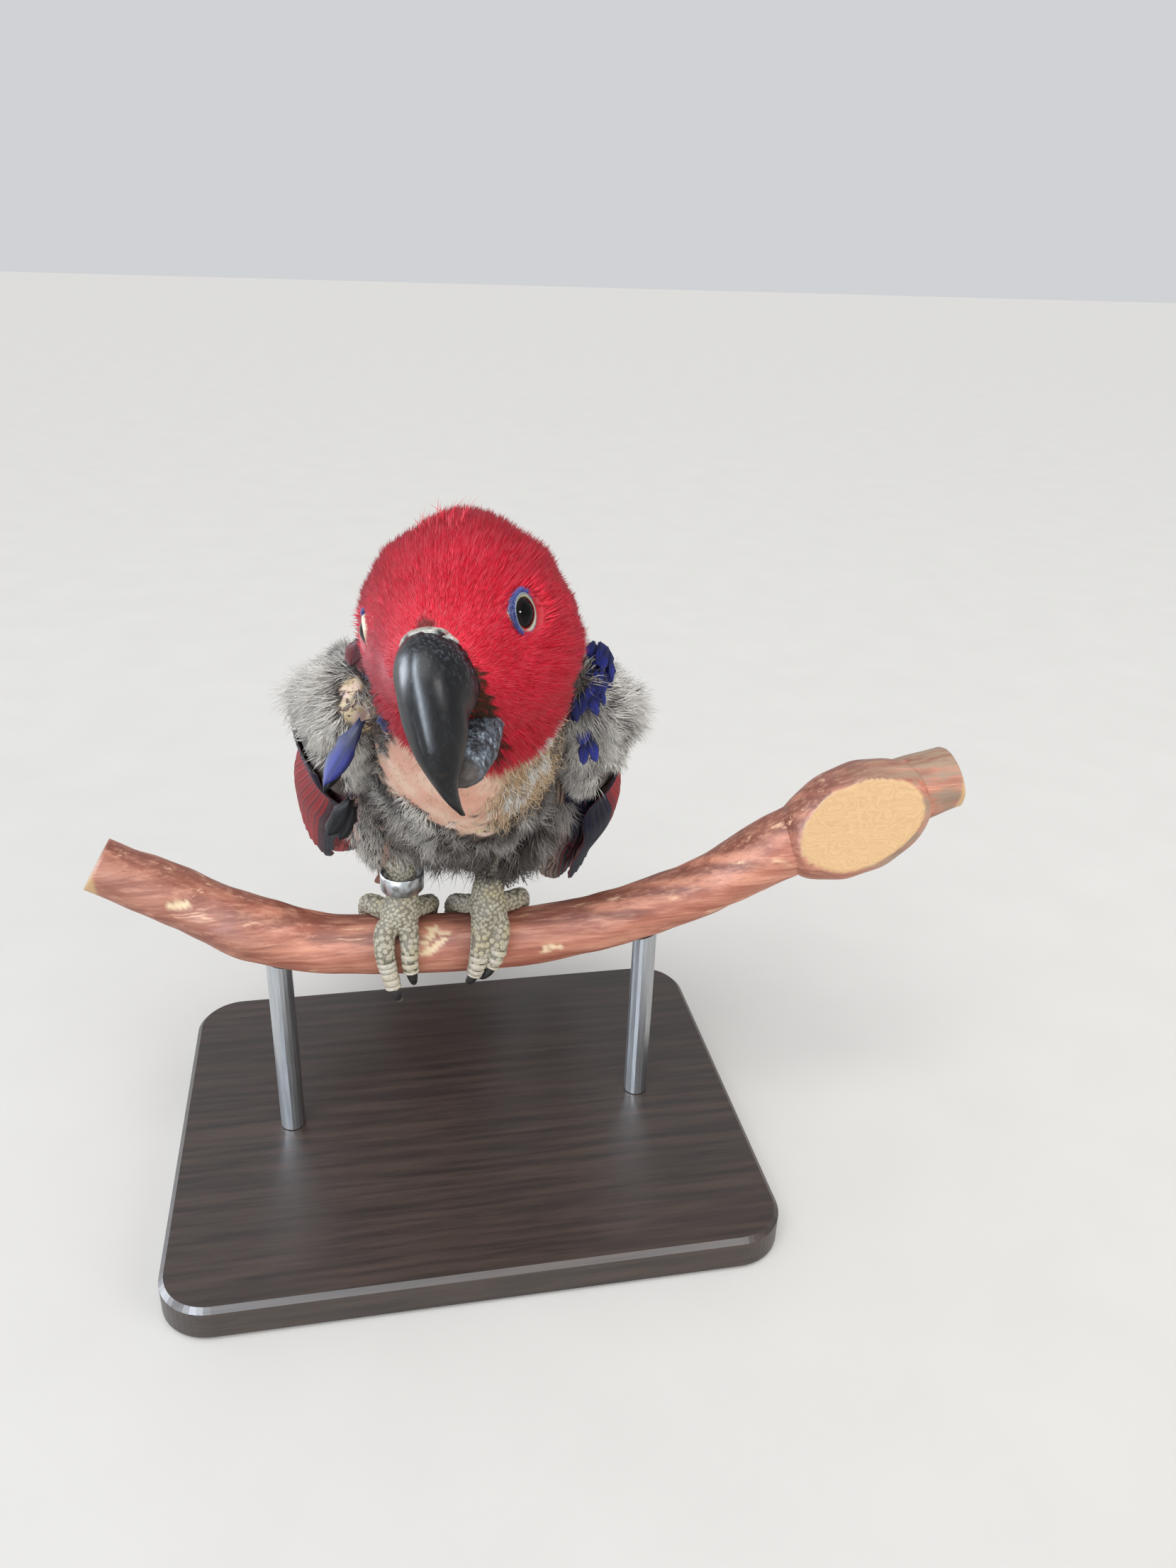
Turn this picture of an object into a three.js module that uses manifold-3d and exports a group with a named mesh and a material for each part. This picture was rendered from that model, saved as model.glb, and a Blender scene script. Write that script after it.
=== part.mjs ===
// A life-size eclectus parrot hen with a plucked body, leaning forward on a short cut branch,
// which two rods hold over a flat base. Millimetres, +Z up. The bird faces -Y and its right
// side is -X. The origin is the middle of the base's underside, below the point between the feet.
import * as THREE from "three";
import { mergeVertices } from "three/addons/utils/BufferGeometryUtils.js";
import Module from "manifold-3d";

const wasm = await Module();
wasm.setup();
const V = (x, y, z) => new THREE.Vector3(x, y, z);
const { degToRad, lerp, clamp } = THREE.MathUtils;

// Driving sizes
const gap = 0.3; // kept between pieces that touch
const wide = 0.6; // the same between tapered tubes, whose sides stand aslant
const perchHeight = 80; // middle of the branch between the feet, above the floor
const perchRadius = 9.7;
const base = { width: 190, depth: 150, height: 12, corner: 16, bevel: 1.5 };
const rod = { radius: 4, at: [-58, 62] };
const headRadius = 27;
const eye = { x: 8.5, y: 16.2, z: 5, radius: 5.4, lidRadius: 4.6, lidTube: 0.95, turn: 17, lift: 4 };
const ring = { inner: 5.8, outer: 6.8, height: 6.2 };
const vaneThickness = 0.52;
const layer = 0.95; // from one overlapping feather to the next

// Trunk axis: from the middle of the neck's root down and back to the root of the tail
const neckRoot = V(0, -40, 109);
const tailRoot = V(0, 50, 36);
const along = tailRoot.clone().sub(neckRoot).normalize();
const dorsal = V(0, -along.z, along.y);
const trunkPoint = (s, x, n) =>
  neckRoot.clone().addScaledVector(along, s).addScaledVector(dorsal, n).setX(x);

// Head frame: x towards the bill, y to the bird's left, z up
const headAt = V(-3.6, -56.4, 125.2);
const headTurn = { yaw: 22, pitch: 5, roll: 12.5 };
const headFrame = new THREE.Matrix4()
  .makeRotationFromEuler(
    new THREE.Euler(
      degToRad(headTurn.roll),
      degToRad(headTurn.pitch),
      degToRad(-90 - headTurn.yaw),
      "ZYX",
    ),
  )
  .setPosition(headAt);

// A seeded draw, the same in every run
function seeded(seed) {
  let state = seed;
  return () => {
    state = (Math.imul(state, 1664525) + 1013904223) >>> 0;
    return state / 4294967296;
  };
}

// Reads a table whose first column is the key and gives a smooth row of values at any key
function table(rows) {
  const width = rows[0].length - 1;
  return (key) => {
    let i = rows.findIndex((row) => row[0] > key) - 1;
    if (key <= rows[0][0]) return rows[0].slice(1);
    if (i < 0) return rows.at(-1).slice(1);
    const t = (key - rows[i][0]) / (rows[i + 1][0] - rows[i][0]);
    const before = rows[Math.max(i - 1, 0)];
    const after = rows[Math.min(i + 2, rows.length - 1)];
    return Array.from({ length: width }, (_, c) => {
      const [a, b, d, e] = [before, rows[i], rows[i + 1], after].map((row) => row[c + 1]);
      const smooth = b + 0.5 * t * (d - a + t * (2 * a - 5 * b + 4 * d - e + t * (3 * (b - d) + e - a)));
      return clamp(smooth, Math.min(b, d), Math.max(b, d));
    });
  };
}

// Turns a closed geometry into a solid for joining and cutting, faces outward
function solidOf(geometry, matrix) {
  const plain = new THREE.BufferGeometry();
  plain.setAttribute("position", geometry.getAttribute("position").clone());
  plain.setIndex(geometry.index);
  if (matrix) plain.applyMatrix4(matrix);
  const merged = mergeVertices(plain, 1e-4);
  const vertProperties = new Float32Array(merged.attributes.position.array);
  const triVerts = new Uint32Array(merged.index.array);
  const build = () => new wasm.Manifold(new wasm.Mesh({ numProp: 3, vertProperties, triVerts }));
  const made = build();
  if (made.volume() > 0) return made;
  for (let i = 0; i < triVerts.length; i += 3)
    [triVerts[i + 1], triVerts[i + 2]] = [triVerts[i + 2], triVerts[i + 1]];
  return build();
}

// The largest closed surface of a solid
function largest(solid) {
  return solid.decompose().sort((a, b) => b.volume() - a.volume())[0];
}

function geometryOf(solid) {
  const mesh = solid.getMesh();
  const position = new Float32Array(mesh.numVert * 3);
  for (let i = 0; i < mesh.numVert; i++)
    position.set(mesh.vertProperties.subarray(i * mesh.numProp, i * mesh.numProp + 3), i * 3);
  const geometry = new THREE.BufferGeometry();
  geometry.setAttribute("position", new THREE.BufferAttribute(position, 3));
  geometry.setIndex(new THREE.BufferAttribute(new Uint32Array(mesh.triVerts), 1));
  geometry.computeVertexNormals();
  return geometry;
}

// Skins a row of rings, each with the same number of points, and closes both ends on a middle point
function skinOf(rings) {
  const sides = rings[0].length;
  const middle = (points) => points.reduce((sum, p) => sum.add(p), V(0, 0, 0)).divideScalar(sides);
  const points = [...rings.flat(), middle(rings[0]), middle(rings.at(-1))];
  const faces = [];
  for (let i = 0; i + 1 < rings.length; i++)
    for (let k = 0; k < sides; k++) {
      const [a, b] = [i * sides + k, i * sides + ((k + 1) % sides)];
      faces.push(a, b, b + sides, a, b + sides, a + sides);
    }
  const last = (rings.length - 1) * sides;
  for (let k = 0; k < sides; k++) {
    const next = (k + 1) % sides;
    faces.push(points.length - 2, next, k, points.length - 1, last + k, last + next);
  }
  const geometry = new THREE.BufferGeometry().setFromPoints(points);
  geometry.setIndex(faces);
  return geometry;
}

// A round tube along points, each with its own radius, with rounded ends
function tube(points, radii, { sides = 10, rings = 8, extra = 0, ridge = 0 } = {}) {
  const curve = new THREE.CatmullRomCurve3(points);
  const frames = curve.computeFrenetFrames(rings, false);
  const radiusAt = table(radii.map((r, i) => [i / (radii.length - 1), r]));
  const section = (center, i, r) =>
    Array.from({ length: sides }, (_, k) => {
      const a = (k / sides) * 2 * Math.PI;
      return center
        .clone()
        .addScaledVector(frames.normals[i], r * Math.cos(a))
        .addScaledVector(frames.binormals[i], r * Math.sin(a));
    });
  const made = [];
  for (let i = 0; i <= rings; i++) {
    const t = i / rings;
    const bump = ridge && i > 0 && i < rings ? ridge * (i % 2) : 0;
    made.push(section(curve.getPoint(t), i, radiusAt(t)[0] + extra + bump));
  }
  const cap = (i, sign) => {
    const [r] = radiusAt(i / rings);
    const center = curve.getPoint(i / rings).addScaledVector(frames.tangents[i], sign * (r * 0.55 + extra));
    return section(center, i, r * 0.6 + extra);
  };
  return skinOf([cap(0, -1), ...made, cap(rings, 1)]);
}

// Half an ellipse above and half below the middle of a section
function eggRing(sides, width, top, bottom, place) {
  return Array.from({ length: sides }, (_, k) => {
    const a = (k / sides) * 2 * Math.PI;
    const up = Math.sin(a);
    return place(width * Math.cos(a), up * (up > 0 ? top : bottom));
  });
}

// Trunk: neck, chest, belly and rump in one skin. Columns: place along the axis, half width, back, belly
const trunkTable = table([
  [-26, 14, 12, 15],
  [-20, 21, 17, 21],
  [-8, 25, 20, 27],
  [4, 26.5, 21.5, 31],
  [18, 29, 23.5, 35.5],
  [38, 31.5, 26, 38.5],
  [60, 32.5, 26.5, 40],
  [80, 31, 24.5, 38.5],
  [96, 25.5, 20, 30],
  [108, 18.5, 14.5, 19],
  [115, 12.5, 10, 11],
]);
function trunk(extra = 0, sides = 22) {
  const stops = [-26, -17, -8, 1, 10, 20, 32, 45, 58, 71, 84, 95, 105, 112, 116];
  const last = stops.length - 1;
  return skinOf(
    stops.map((stop, i) => {
      const s = stop + (i === last ? extra : 0) - (i === 0 ? extra : 0);
      const [width, back, belly] = trunkTable(s);
      return eggRing(sides, width + extra, back + extra, belly + extra, (x, n) => trunkPoint(s, x, n));
    }),
  );
}

// Head: columns are place along the head, half width, crown height and chin depth
const headTable = table([
  [-28.5, 8, 7, -11],
  [-25, 15.5, 15, -19],
  [-17, 23, 22.5, -25.5],
  [-6, headRadius, 25.5, -28],
  [4, 25, 24, -27],
  [11, 20.5, 20.5, -23],
  [17, 15.8, 16, -17],
  [20, 13.6, 12.8, -12.5],
  [23, 11, 8.6, -6.5],
]);
function headBall(extra = 0) {
  const stops = [-28.5, -26.5, -22, -16, -9, -2, 5, 10, 14.5, 18.5, 21, 23];
  return skinOf(
    stops.map((x) => {
      const [width, crown, chin] = headTable(x);
      const middle = lerp(crown, chin, 0.54);
      const ringOf = (y, z) => V(x, y, middle + z);
      return eggRing(20, width + extra, crown - middle + extra, middle - chin + extra, ringOf);
    }),
  );
}

// Bill, in the head's frame. Columns: step, culmen x and z, cutting edge x and z, half width
const upperBillTable = table([
  [0, 17, 7.7, 8, -12, 8.6],
  [0.14, 23.8, 9.2, 15, -13, 9],
  [0.3, 29.6, 7.9, 22, -13.8, 8.8],
  [0.44, 34.6, 3.4, 25.6, -15, 7.5],
  [0.57, 37.6, -4, 28.5, -18, 6.8],
  [0.7, 39.7, -13, 31.6, -21.1, 4.9],
  [0.82, 39.4, -20.5, 33.8, -24.7, 2.6],
  [0.92, 36.9, -27, 33.5, -28.9, 1.4],
  [1, 32.8, -32.8, 32.6, -32.4, 0.6],
]);
const lowerBillTable = table([
  [0, 8, -12.5, 4, -21, 7.6],
  [0.25, 14, -14.5, 12, -25.5, 7.7],
  [0.5, 20, -16.5, 19.5, -28.5, 7.3],
  [0.75, 26.5, -19, 27, -28.5, 6.2],
  [0.92, 30.5, -21.5, 31.5, -25.5, 4.8],
  [1, 31.5, -22.5, 32.3, -23.8, 3.6],
]);
const billLean = 0.03; // the bill's tip stands a little towards the bird's left
const billAside = 0.6; // and so does the whole bill
function bill(profile, steps, extra = 0) {
  const rings = steps.map((t, i) => {
    const [topX, topZ, lowX, lowZ, width] = profile(t);
    const back = i === 0 ? 1.5 * extra : 0;
    const ahead = i === steps.length - 1 ? 1.5 * extra : 0;
    const middle = V((topX + lowX) / 2 - back, 0, (topZ + lowZ) / 2 - ahead);
    const half = V((topX - lowX) / 2, 0, (topZ - lowZ) / 2);
    half.setLength(half.length() + extra);
    return eggRing(14, width + extra, 1, 1, (y, n) => {
      const point = middle.clone().addScaledVector(half, n);
      return point.setY(y - billLean * point.z + billAside);
    });
  });
  return skinOf(rings);
}

// An upright ring round the axis of a matrix, as a lid or a band
function hoop(radius, section, sides, matrix) {
  const profile = section.map(([r, z]) => new THREE.Vector2(radius + r, z));
  return solidOf(new THREE.LatheGeometry([...profile, profile[0]], sides), matrix);
}

// A place on the eye's axis, turned so that its Y axis points out of the head
function eyeFrame(side) {
  const [turned, lifted] = [degToRad(eye.turn), degToRad(eye.lift)];
  const out = V(Math.sin(turned), side * Math.cos(turned), Math.sin(lifted));
  const turn = new THREE.Quaternion().setFromUnitVectors(V(0, 1, 0), out.normalize());
  const local = new THREE.Matrix4().makeRotationFromQuaternion(turn);
  local.setPosition(V(eye.x, side * eye.y, eye.z));
  return headFrame.clone().multiply(local);
}

// Wing surface: a cupped shell round the trunk's side. Columns: place along the trunk,
// how far out it reaches, middle height, half height
const wingTable = table([
  [0, 33, 2, 14],
  [20, 36, 0, 18],
  [45, 40, -3, 22],
  [85, 43.5, -6, 22],
  [125, 44.5, -8, 19],
  [160, 44.5, -10, 16],
  [200, 43, -12, 12],
]);
const wingMiddle = 20; // distance of the shell's middle from the bird's middle plane
// The bird's left wing hangs a little lower and further out than its right
const hang = { left: { droop: 0.055, flare: 0.07 }, right: { droop: -0.03, flare: 0.008 } };
function settled(side, s, x, n) {
  const { droop, flare } = side > 0 ? hang.left : hang.right;
  return trunkPoint(s, side * (x + flare * s), n - droop * s);
}
function wingPoint(side, s, angle, lift) {
  const [reach, middle, half] = wingTable(s);
  const a = degToRad(angle);
  const across = reach - wingMiddle + lift;
  const x = wingMiddle + across * Math.cos(a);
  return settled(side, s, x, middle + (half + lift) * Math.sin(a));
}

// A flight feather: a thin plate with rounded tip, three points wide on each face.
// place(t, e, h) gives a point at t along it, e across it and h above it
function vane(place, halfWidth, { tip = 0.3 } = {}) {
  const stops = [0, 0.3, 0.72, 0.92, 1];
  const spread = [0.5, 1, 1, 0.76, tip];
  const rings = stops.map((t, i) => {
    const w = halfWidth * spread[i];
    const thick = i < stops.length - 1 ? vaneThickness : vaneThickness * 0.8;
    return [
      ...[-w, 0, w].map((e) => place(t, e, 0)),
      ...[w, 0, -w].map((e) => place(t, e, thick)),
    ];
  });
  return solidOf(plateOf(rings));
}

// Skins six-point rings of a plate and closes its ends with the same split on both faces
function plateOf(rings) {
  const points = rings.flat();
  const faces = [];
  const quad = (a, b, c, d) => faces.push(a, b, c, a, c, d);
  for (let i = 0; i + 1 < rings.length; i++) {
    const [p, q] = [i * 6, (i + 1) * 6];
    quad(p, p + 1, q + 1, q);
    quad(p + 1, p + 2, q + 2, q + 1);
    quad(p + 2, p + 3, q + 3, q + 2);
    faces.push(p + 3, p + 4, q + 3, p + 4, q + 4, q + 3);
    faces.push(p + 4, p + 5, q + 4, p + 5, q + 5, q + 4);
    quad(p + 5, p, q, q + 5);
  }
  const close = (o, flip) => {
    for (const [a, b, c] of [[0, 4, 1], [0, 5, 4], [1, 3, 2], [1, 4, 3]])
      faces.push(o + a, o + (flip ? c : b), o + (flip ? b : c));
  };
  close(0, false);
  close((rings.length - 1) * 6, true);
  const geometry = new THREE.BufferGeometry().setFromPoints(points);
  geometry.setIndex(faces);
  return geometry;
}

// One wing: arm and hand under their down, then primaries, secondaries and a few coverts
const primaries = { count: 8, rootAt: 40, halfWidth: 8.5, lift: -8.5 };
const secondaries = { count: 6, rootAt: 34, halfWidth: 9.5, lift: -1 };
const coverts = { count: 4, rootAt: 26, halfWidth: 6.5, lift: 0.9 };
function wingFeather(side, root, tip, halfWidth, lift) {
  const place = (t, e, h) => {
    const s = lerp(root.s, tip.s, t);
    const [reach, , half] = wingTable(s);
    const bend = (reach - wingMiddle + half) / 2;
    const angle = lerp(root.angle, tip.angle, t) + (e / bend) * (180 / Math.PI);
    return wingPoint(side, s, angle, lift + h);
  };
  return vane(place, halfWidth);
}
function wing(side) {
  const draw = seeded(side > 0 ? 11 : 23);
  const arm = skinOf(
    [
      [8, 30, 0, 5, 7],
      [12, 31.5, -0.5, 9, 12],
      [20, 33.5, -1, 12.5, 17],
      [32, 34.5, -2, 13.5, 20],
      [46, 34.5, -4, 12, 20],
      [60, 34.5, -6, 10, 18],
      [73, 35, -7.5, 7.5, 14],
      [84, 35.5, -9, 4.8, 9],
      [91, 36, -9.5, 2.4, 4.5],
    ].map(([s, x, n, across, half]) =>
      eggRing(14, across, half, half, (e, h) => settled(side, s, x + e, n + h)),
    ),
  );
  const pieces = [solidOf(arm)];
  const row = ({ count, rootAt, halfWidth, lift }, reach, rootAngles, tipAngles) => {
    for (let i = 0; i < count; i++) {
      const share = i / (count - 1);
      const root = { s: rootAt, angle: lerp(...rootAngles, share) };
      const tip = { s: reach(share) + 3 * draw(), angle: lerp(...tipAngles, share) };
      pieces.push(wingFeather(side, root, tip, halfWidth, lift + layer * i));
    }
  };
  row(primaries, (t) => 176 + 22 * Math.sin(Math.PI * (0.25 + 0.75 * t)), [-66, -30], [-44, 10]);
  row(secondaries, (t) => 148 - 36 * t, [-24, 42], [-4, 66]);
  row(coverts, (t) => 88 + 12 * t, [-56, -12], [-50, 0]);
  return wasm.Manifold.union(pieces);
}

// Tail: a short core under the coverts and twelve overlapping feathers, the middle pair on top
const tail = { pairs: 6, rootAt: 110, length: 108, halfWidth: 9.5, spread: 1.25, tilt: 5.5 };
const tailPoint = (out, x, n) => {
  const [c, d] = [Math.cos(degToRad(tail.tilt)), Math.sin(degToRad(tail.tilt))];
  return trunkPoint(tail.rootAt + out * c + n * d, x, n * c - out * d);
};
function tailFan() {
  const draw = seeded(37);
  const core = skinOf(
    [
      [-4, 8, 6, 7],
      [3, 12.5, 9.5, 10.5],
      [12, 13.5, 8, 8.5],
      [24, 13, 5, 5.5],
      [34, 10.5, 2.2, 3],
    ].map(([out, w, top, low]) => eggRing(12, w, top, low, (x, n) => tailPoint(out, x, n - 1))),
  );
  const pieces = [solidOf(core)];
  const feather = (side, i, length, halfWidth, lift) => {
    const swing = degToRad(tail.spread * (i + 0.5)) * side;
    const place = (t, e, h) => {
      const out = length * t;
      const x = side * (1.6 + 0.9 * i) + out * Math.sin(swing) + e * Math.cos(swing);
      const droop = 0.0002 * out * out + 0.006 * x * x;
      return tailPoint(out * Math.cos(swing), x, lift + h - droop);
    };
    pieces.push(vane(place, halfWidth, { tip: 0.45 }));
  };
  for (let i = 0; i < tail.pairs; i++)
    for (const side of [1, -1]) {
      const lift = 3.2 - (2 * i + (side > 0 ? 0 : 1)) * layer;
      feather(side, i, tail.length - 1.6 * i + 2 * draw(), tail.halfWidth, lift);
    }
  for (const [side, i] of [[1, 0], [-1, 0], [1, 3], [-1, 3]])
    feather(side, i, 44 + 3 * draw(), 7, (i ? 4.3 : 6.2) - (side > 0 ? 0 : layer));
  return wasm.Manifold.union(pieces);
}

// The branch: a hand-picked line with its thickness. Columns: x, y, z, radius
const branchLine = [
  [-108, 3, 35.5, 9.2],
  [-84, 2, 21.5, 9.6],
  [-62, 0, 9.6, 10.6],
  [-42, 0, 3.3, 9.9],
  [-20, 0, 1.1, perchRadius],
  [0, 0, 0, perchRadius],
  [21, 0, 0.2, perchRadius],
  [46, 0, 3.6, 9.9],
  [69, 0, 10, 9.9],
  [86, 0, 17, 10.2],
  [107, -1, 28.5, 11.6],
  [130, -1, 38.5, 13],
  [150, 0, 46.3, 12],
  [164, 1, 50, 11.2],
];
const branchTable = table(branchLine);
function branch(extra = 0) {
  const curve = new THREE.CatmullRomCurve3(branchLine.map(([x, y, z]) => V(x, y, z)));
  const rings = 26;
  const sides = 12;
  const made = [];
  for (let i = 0; i <= rings; i++) {
    const t = i / rings;
    const center = curve.getPoint(t);
    const ahead = curve.getTangent(t);
    const up = V(-ahead.z, 0, ahead.x).normalize();
    const back = ahead.clone().cross(up);
    const radius = branchTable(center.x)[2] + extra;
    made.push(
      Array.from({ length: sides }, (_, k) => {
        const a = (k / sides) * 2 * Math.PI;
        return center
          .clone()
          .addScaledVector(up, radius * Math.cos(a))
          .addScaledVector(back, radius * Math.sin(a));
      }),
    );
  }
  return solidOf(skinOf(made));
}
// The stub of a side shoot, sawn off flat on the front
const stub = { at: V(130, -3, 38), along: 28, up: 18.5, out: 17, slope: 24, face: 11.2 };
function stubBulge() {
  const ball = new THREE.SphereGeometry(1, 16, 10);
  const turn = new THREE.Matrix4().makeRotationY(degToRad(-stub.slope)).setPosition(stub.at);
  return solidOf(ball, turn.multiply(new THREE.Matrix4().makeScale(stub.along, stub.out, stub.up)));
}
const sawNormal = V(-0.12, -0.96, 0.25).normalize();
function perchBranch() {
  const [, kept] = stubBulge().splitByPlane(sawNormal.toArray(), sawNormal.dot(stub.at) + stub.face);
  return branch().add(kept);
}

// A place beside the branch: x along it, an angle from its top towards the front, and a distance
// from its middle line
function roundBranch(x, angle, distance) {
  const [y, z] = branchTable(x);
  const a = degToRad(angle);
  return V(x, y - distance * Math.sin(a), z + distance * Math.cos(a));
}

// Legs: thigh and shank are lists of place and radius, toes run from the palm round the branch
const legs = {
  right: {
    thigh: [[-20, 17, 62, 13], [-24.5, 7, 50, 12.5], [-24, -1, 41, 9], [-20, -2.8, 36, 7]],
    shank: [[-19, -2.8, 33, 4.7], [-18.3, -3.3, 27, 4.7], [-18, -4, 21, 4.9], [-18.8, -5, 17, 5.8]],
    palm: [[-19.5, -8.6, 15.6, 5.4], [-19.2, -4.5, 16.4, 6.6], [-18.8, 0.5, 15.2, 5]],
    toes: {
      1: {
        from: [-15, -1.5, 15],
        xs: [-11, -9, -9, -10],
        angles: [-14, -38, -66, -92],
        r: [3.4, 3.1, 2.6],
      },
      2: {
        from: [-17.5, -8, 16],
        xs: [-17, -17, -17.2, -16.8],
        angles: [42, 62, 80, 98],
        r: [3.6, 3.1, 2.6],
      },
      3: {
        from: [-22, -8.5, 15.5],
        xs: [-24.5, -24.8, -24, -22.4],
        angles: [44, 68, 92, 118],
        r: [3.8, 3.4, 2.7],
        drop: 2.6,
      },
      4: {
        from: [-23, -1, 14.6],
        xs: [-27, -29, -29.5, -29.5],
        angles: [-12, -40, -72, -104],
        r: [3.6, 3.3, 2.7],
      },
    },
  },
  left: {
    thigh: [[20, 17, 60, 13], [22, 6, 49, 12.5], [18, -2, 37.5, 8.8], [12, -5, 31.5, 6.4]],
    shank: [[12.5, -4.5, 32, 5], [9.6, -6, 27, 4.9], [8, -6, 21, 5.3], [8, -6, 17, 6]],
    palm: [[8.6, -9.2, 15, 5.3], [8.4, -5, 16.2, 6.6], [8.4, 0.5, 15.2, 5]],
    toes: {
      1: {
        from: [4.6, -1.6, 15],
        xs: [1, -1, -1.5, -1.5],
        angles: [-12, -38, -66, -92],
        r: [3.4, 3.1, 2.6],
      },
      2: {
        from: [6.2, -8.4, 15.6],
        xs: [5.8, 5, 4, 3],
        angles: [44, 66, 88, 108],
        r: [3.8, 3.4, 2.7],
      },
      3: {
        from: [10.8, -8, 14.6],
        xs: [11.8, 11.4, 10.2, 8.6],
        angles: [42, 62, 81, 98],
        r: [3.5, 3, 2.4],
      },
      4: {
        from: [12.5, -1.5, 15],
        xs: [17, 20.5, 21.5, 21.5],
        angles: [-8, -36, -70, -104],
        r: [3.6, 3.3, 2.7],
      },
    },
  },
};
const rowsToTube = (rows, options) =>
  solidOf(
    tube(
      rows.map(([x, y, z]) => V(x, y, z)),
      rows.map((row) => row[3]),
      options,
    ),
  );
function toeLine({ from, xs, angles, r, drop = 0 }) {
  const reach = perchRadius + 0.2;
  const way = xs.map((x, i) => {
    const radius = lerp(r[0], r[2], (i + 1) / xs.length);
    return roundBranch(x, angles[i], reach + radius + (i === xs.length - 1 ? drop : 0));
  });
  return [V(...from), ...way];
}
function clawLine(line) {
  const end = line.at(-1);
  const ahead = end.clone().sub(line.at(-2)).normalize();
  const inward = V(0, -end.y, branchTable(end.x)[1] - end.z).normalize();
  const step = (far, bend) => end.clone().addScaledVector(ahead, far).addScaledVector(inward, bend);
  return [step(-0.5, -0.3), step(3.2, 0.2), step(6.4, 1.7), step(9, 4.4)];
}

// Colours, roughness and metalness
const finishes = {
  hood: [0xc8102e, 0.85, 0],
  skin: [0xc99a80, 0.7, 0],
  down: [0x8d8a86, 0.95, 0],
  bill: [0x1c1f22, 0.35, 0],
  cere: [0x8a8a80, 0.6, 0],
  eyeball: [0x0b0a0a, 0.1, 0],
  wing: [0x5e1a22, 0.6, 0],
  tail: [0x7d1820, 0.6, 0],
  scales: [0x857d69, 0.75, 0],
  claw: [0x1d1d1f, 0.4, 0],
  band: [0x8c8f92, 0.35, 1],
  wood: [0x9a5a3c, 0.7, 0],
  base: [0x2b2522, 0.5, 0],
  rod: [0x9c9ea0, 0.35, 1],
};
function node(name, solid, finish) {
  const [color, roughness, metalness] = finishes[finish];
  const material = new THREE.MeshStandardMaterial({ color, roughness, metalness });
  const mesh = new THREE.Mesh(geometryOf(largest(solid)), material);
  mesh.name = name;
  return mesh;
}

const object = new THREE.Group();
const bird = new THREE.Group();
bird.position.z = perchHeight;
object.add(bird);

// Cuts a solid by a plane across the trunk and keeps a gap there. Gives the part towards the tail first
function partAcross(solid, s) {
  const offset = along.dot(trunkPoint(s, 0, 0));
  const [behind] = solid.splitByPlane(along.toArray(), offset + gap / 2);
  const [, ahead] = solid.splitByPlane(along.toArray(), offset - gap / 2);
  return [behind, ahead];
}

// Head, bill and eyes
const upperSteps = [0, 0.08, 0.16, 0.26, 0.36, 0.46, 0.56, 0.66, 0.76, 0.86, 0.94, 1];
const lowerSteps = [0, 0.15, 0.35, 0.55, 0.75, 0.9, 1];
const upperBill = solidOf(bill(upperBillTable, upperSteps), headFrame);
const upperBillGrown = solidOf(bill(upperBillTable, upperSteps, gap), headFrame);
const lowerBill = solidOf(bill(lowerBillTable, lowerSteps), headFrame);
const lowerBillGrown = solidOf(bill(lowerBillTable, lowerSteps, wide), headFrame);
const hoodEdge = -7; // where the red hood ends, along the trunk
const neckEdge = 7;
const lidOut = Math.sqrt(eye.radius ** 2 - eye.lidRadius ** 2);
const lids = [1, -1].map((side) => {
  const section = Array.from({ length: 6 }, (_, k) => {
    const a = (k / 6) * 2 * Math.PI;
    return [eye.lidTube * Math.cos(a), eye.lidTube * Math.sin(a) + lidOut];
  });
  return hoop(eye.lidRadius, section, 16, eyeFrame(side));
});
const eyeball = (side, extra) =>
  solidOf(new THREE.SphereGeometry(eye.radius + extra, 16, 8), eyeFrame(side));
const trunkSolid = solidOf(trunk());
const trunkGrown = solidOf(trunk(gap));
const flesh = wasm.Manifold.union([solidOf(headBall(), headFrame), trunkSolid, ...lids]);
const [behindHood, hoodWhole] = partAcross(flesh, hoodEdge);
let hood = hoodWhole.subtract(upperBillGrown).subtract(lowerBillGrown);
for (const side of [1, -1]) hood = hood.subtract(eyeball(side, gap));
const [torsoWhole, neck] = partAcross(behindHood, neckEdge);
bird.add(node("head", hood, "hood"));
bird.add(node("neck", neck, "skin"));
bird.add(node("eye_left", eyeball(1, 0), "eyeball"));
bird.add(node("eye_right", eyeball(-1, 0), "eyeball"));

// The cere is a slanted slice at the bill's root, with the nostrils in it
const cereNormal = V(0.885, 0, -0.465).transformDirection(headFrame);
const cereOffset = (x, z) => cereNormal.dot(V(x, 0, z).applyMatrix4(headFrame));
const [billRest] = upperBill.splitByPlane(cereNormal.toArray(), cereOffset(25.5, 9));
const [, cereSlice] = upperBill.splitByPlane(cereNormal.toArray(), cereOffset(25.15, 9));
const nostril = (side) => {
  const pit = new THREE.CylinderGeometry(0.75, 0.75, 3.4, 8);
  const local = new THREE.Matrix4().makeRotationX(degToRad(90 - side * 22));
  local.setPosition(V(23.9, side * 3.9 + billAside, 8));
  return solidOf(pit, headFrame.clone().multiply(local));
};
bird.add(node("cere", cereSlice.subtract(nostril(1)).subtract(nostril(-1)), "cere"));
bird.add(node("bill_upper", billRest, "bill"));
bird.add(node("bill_lower", lowerBill.subtract(upperBillGrown), "bill"));

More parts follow.
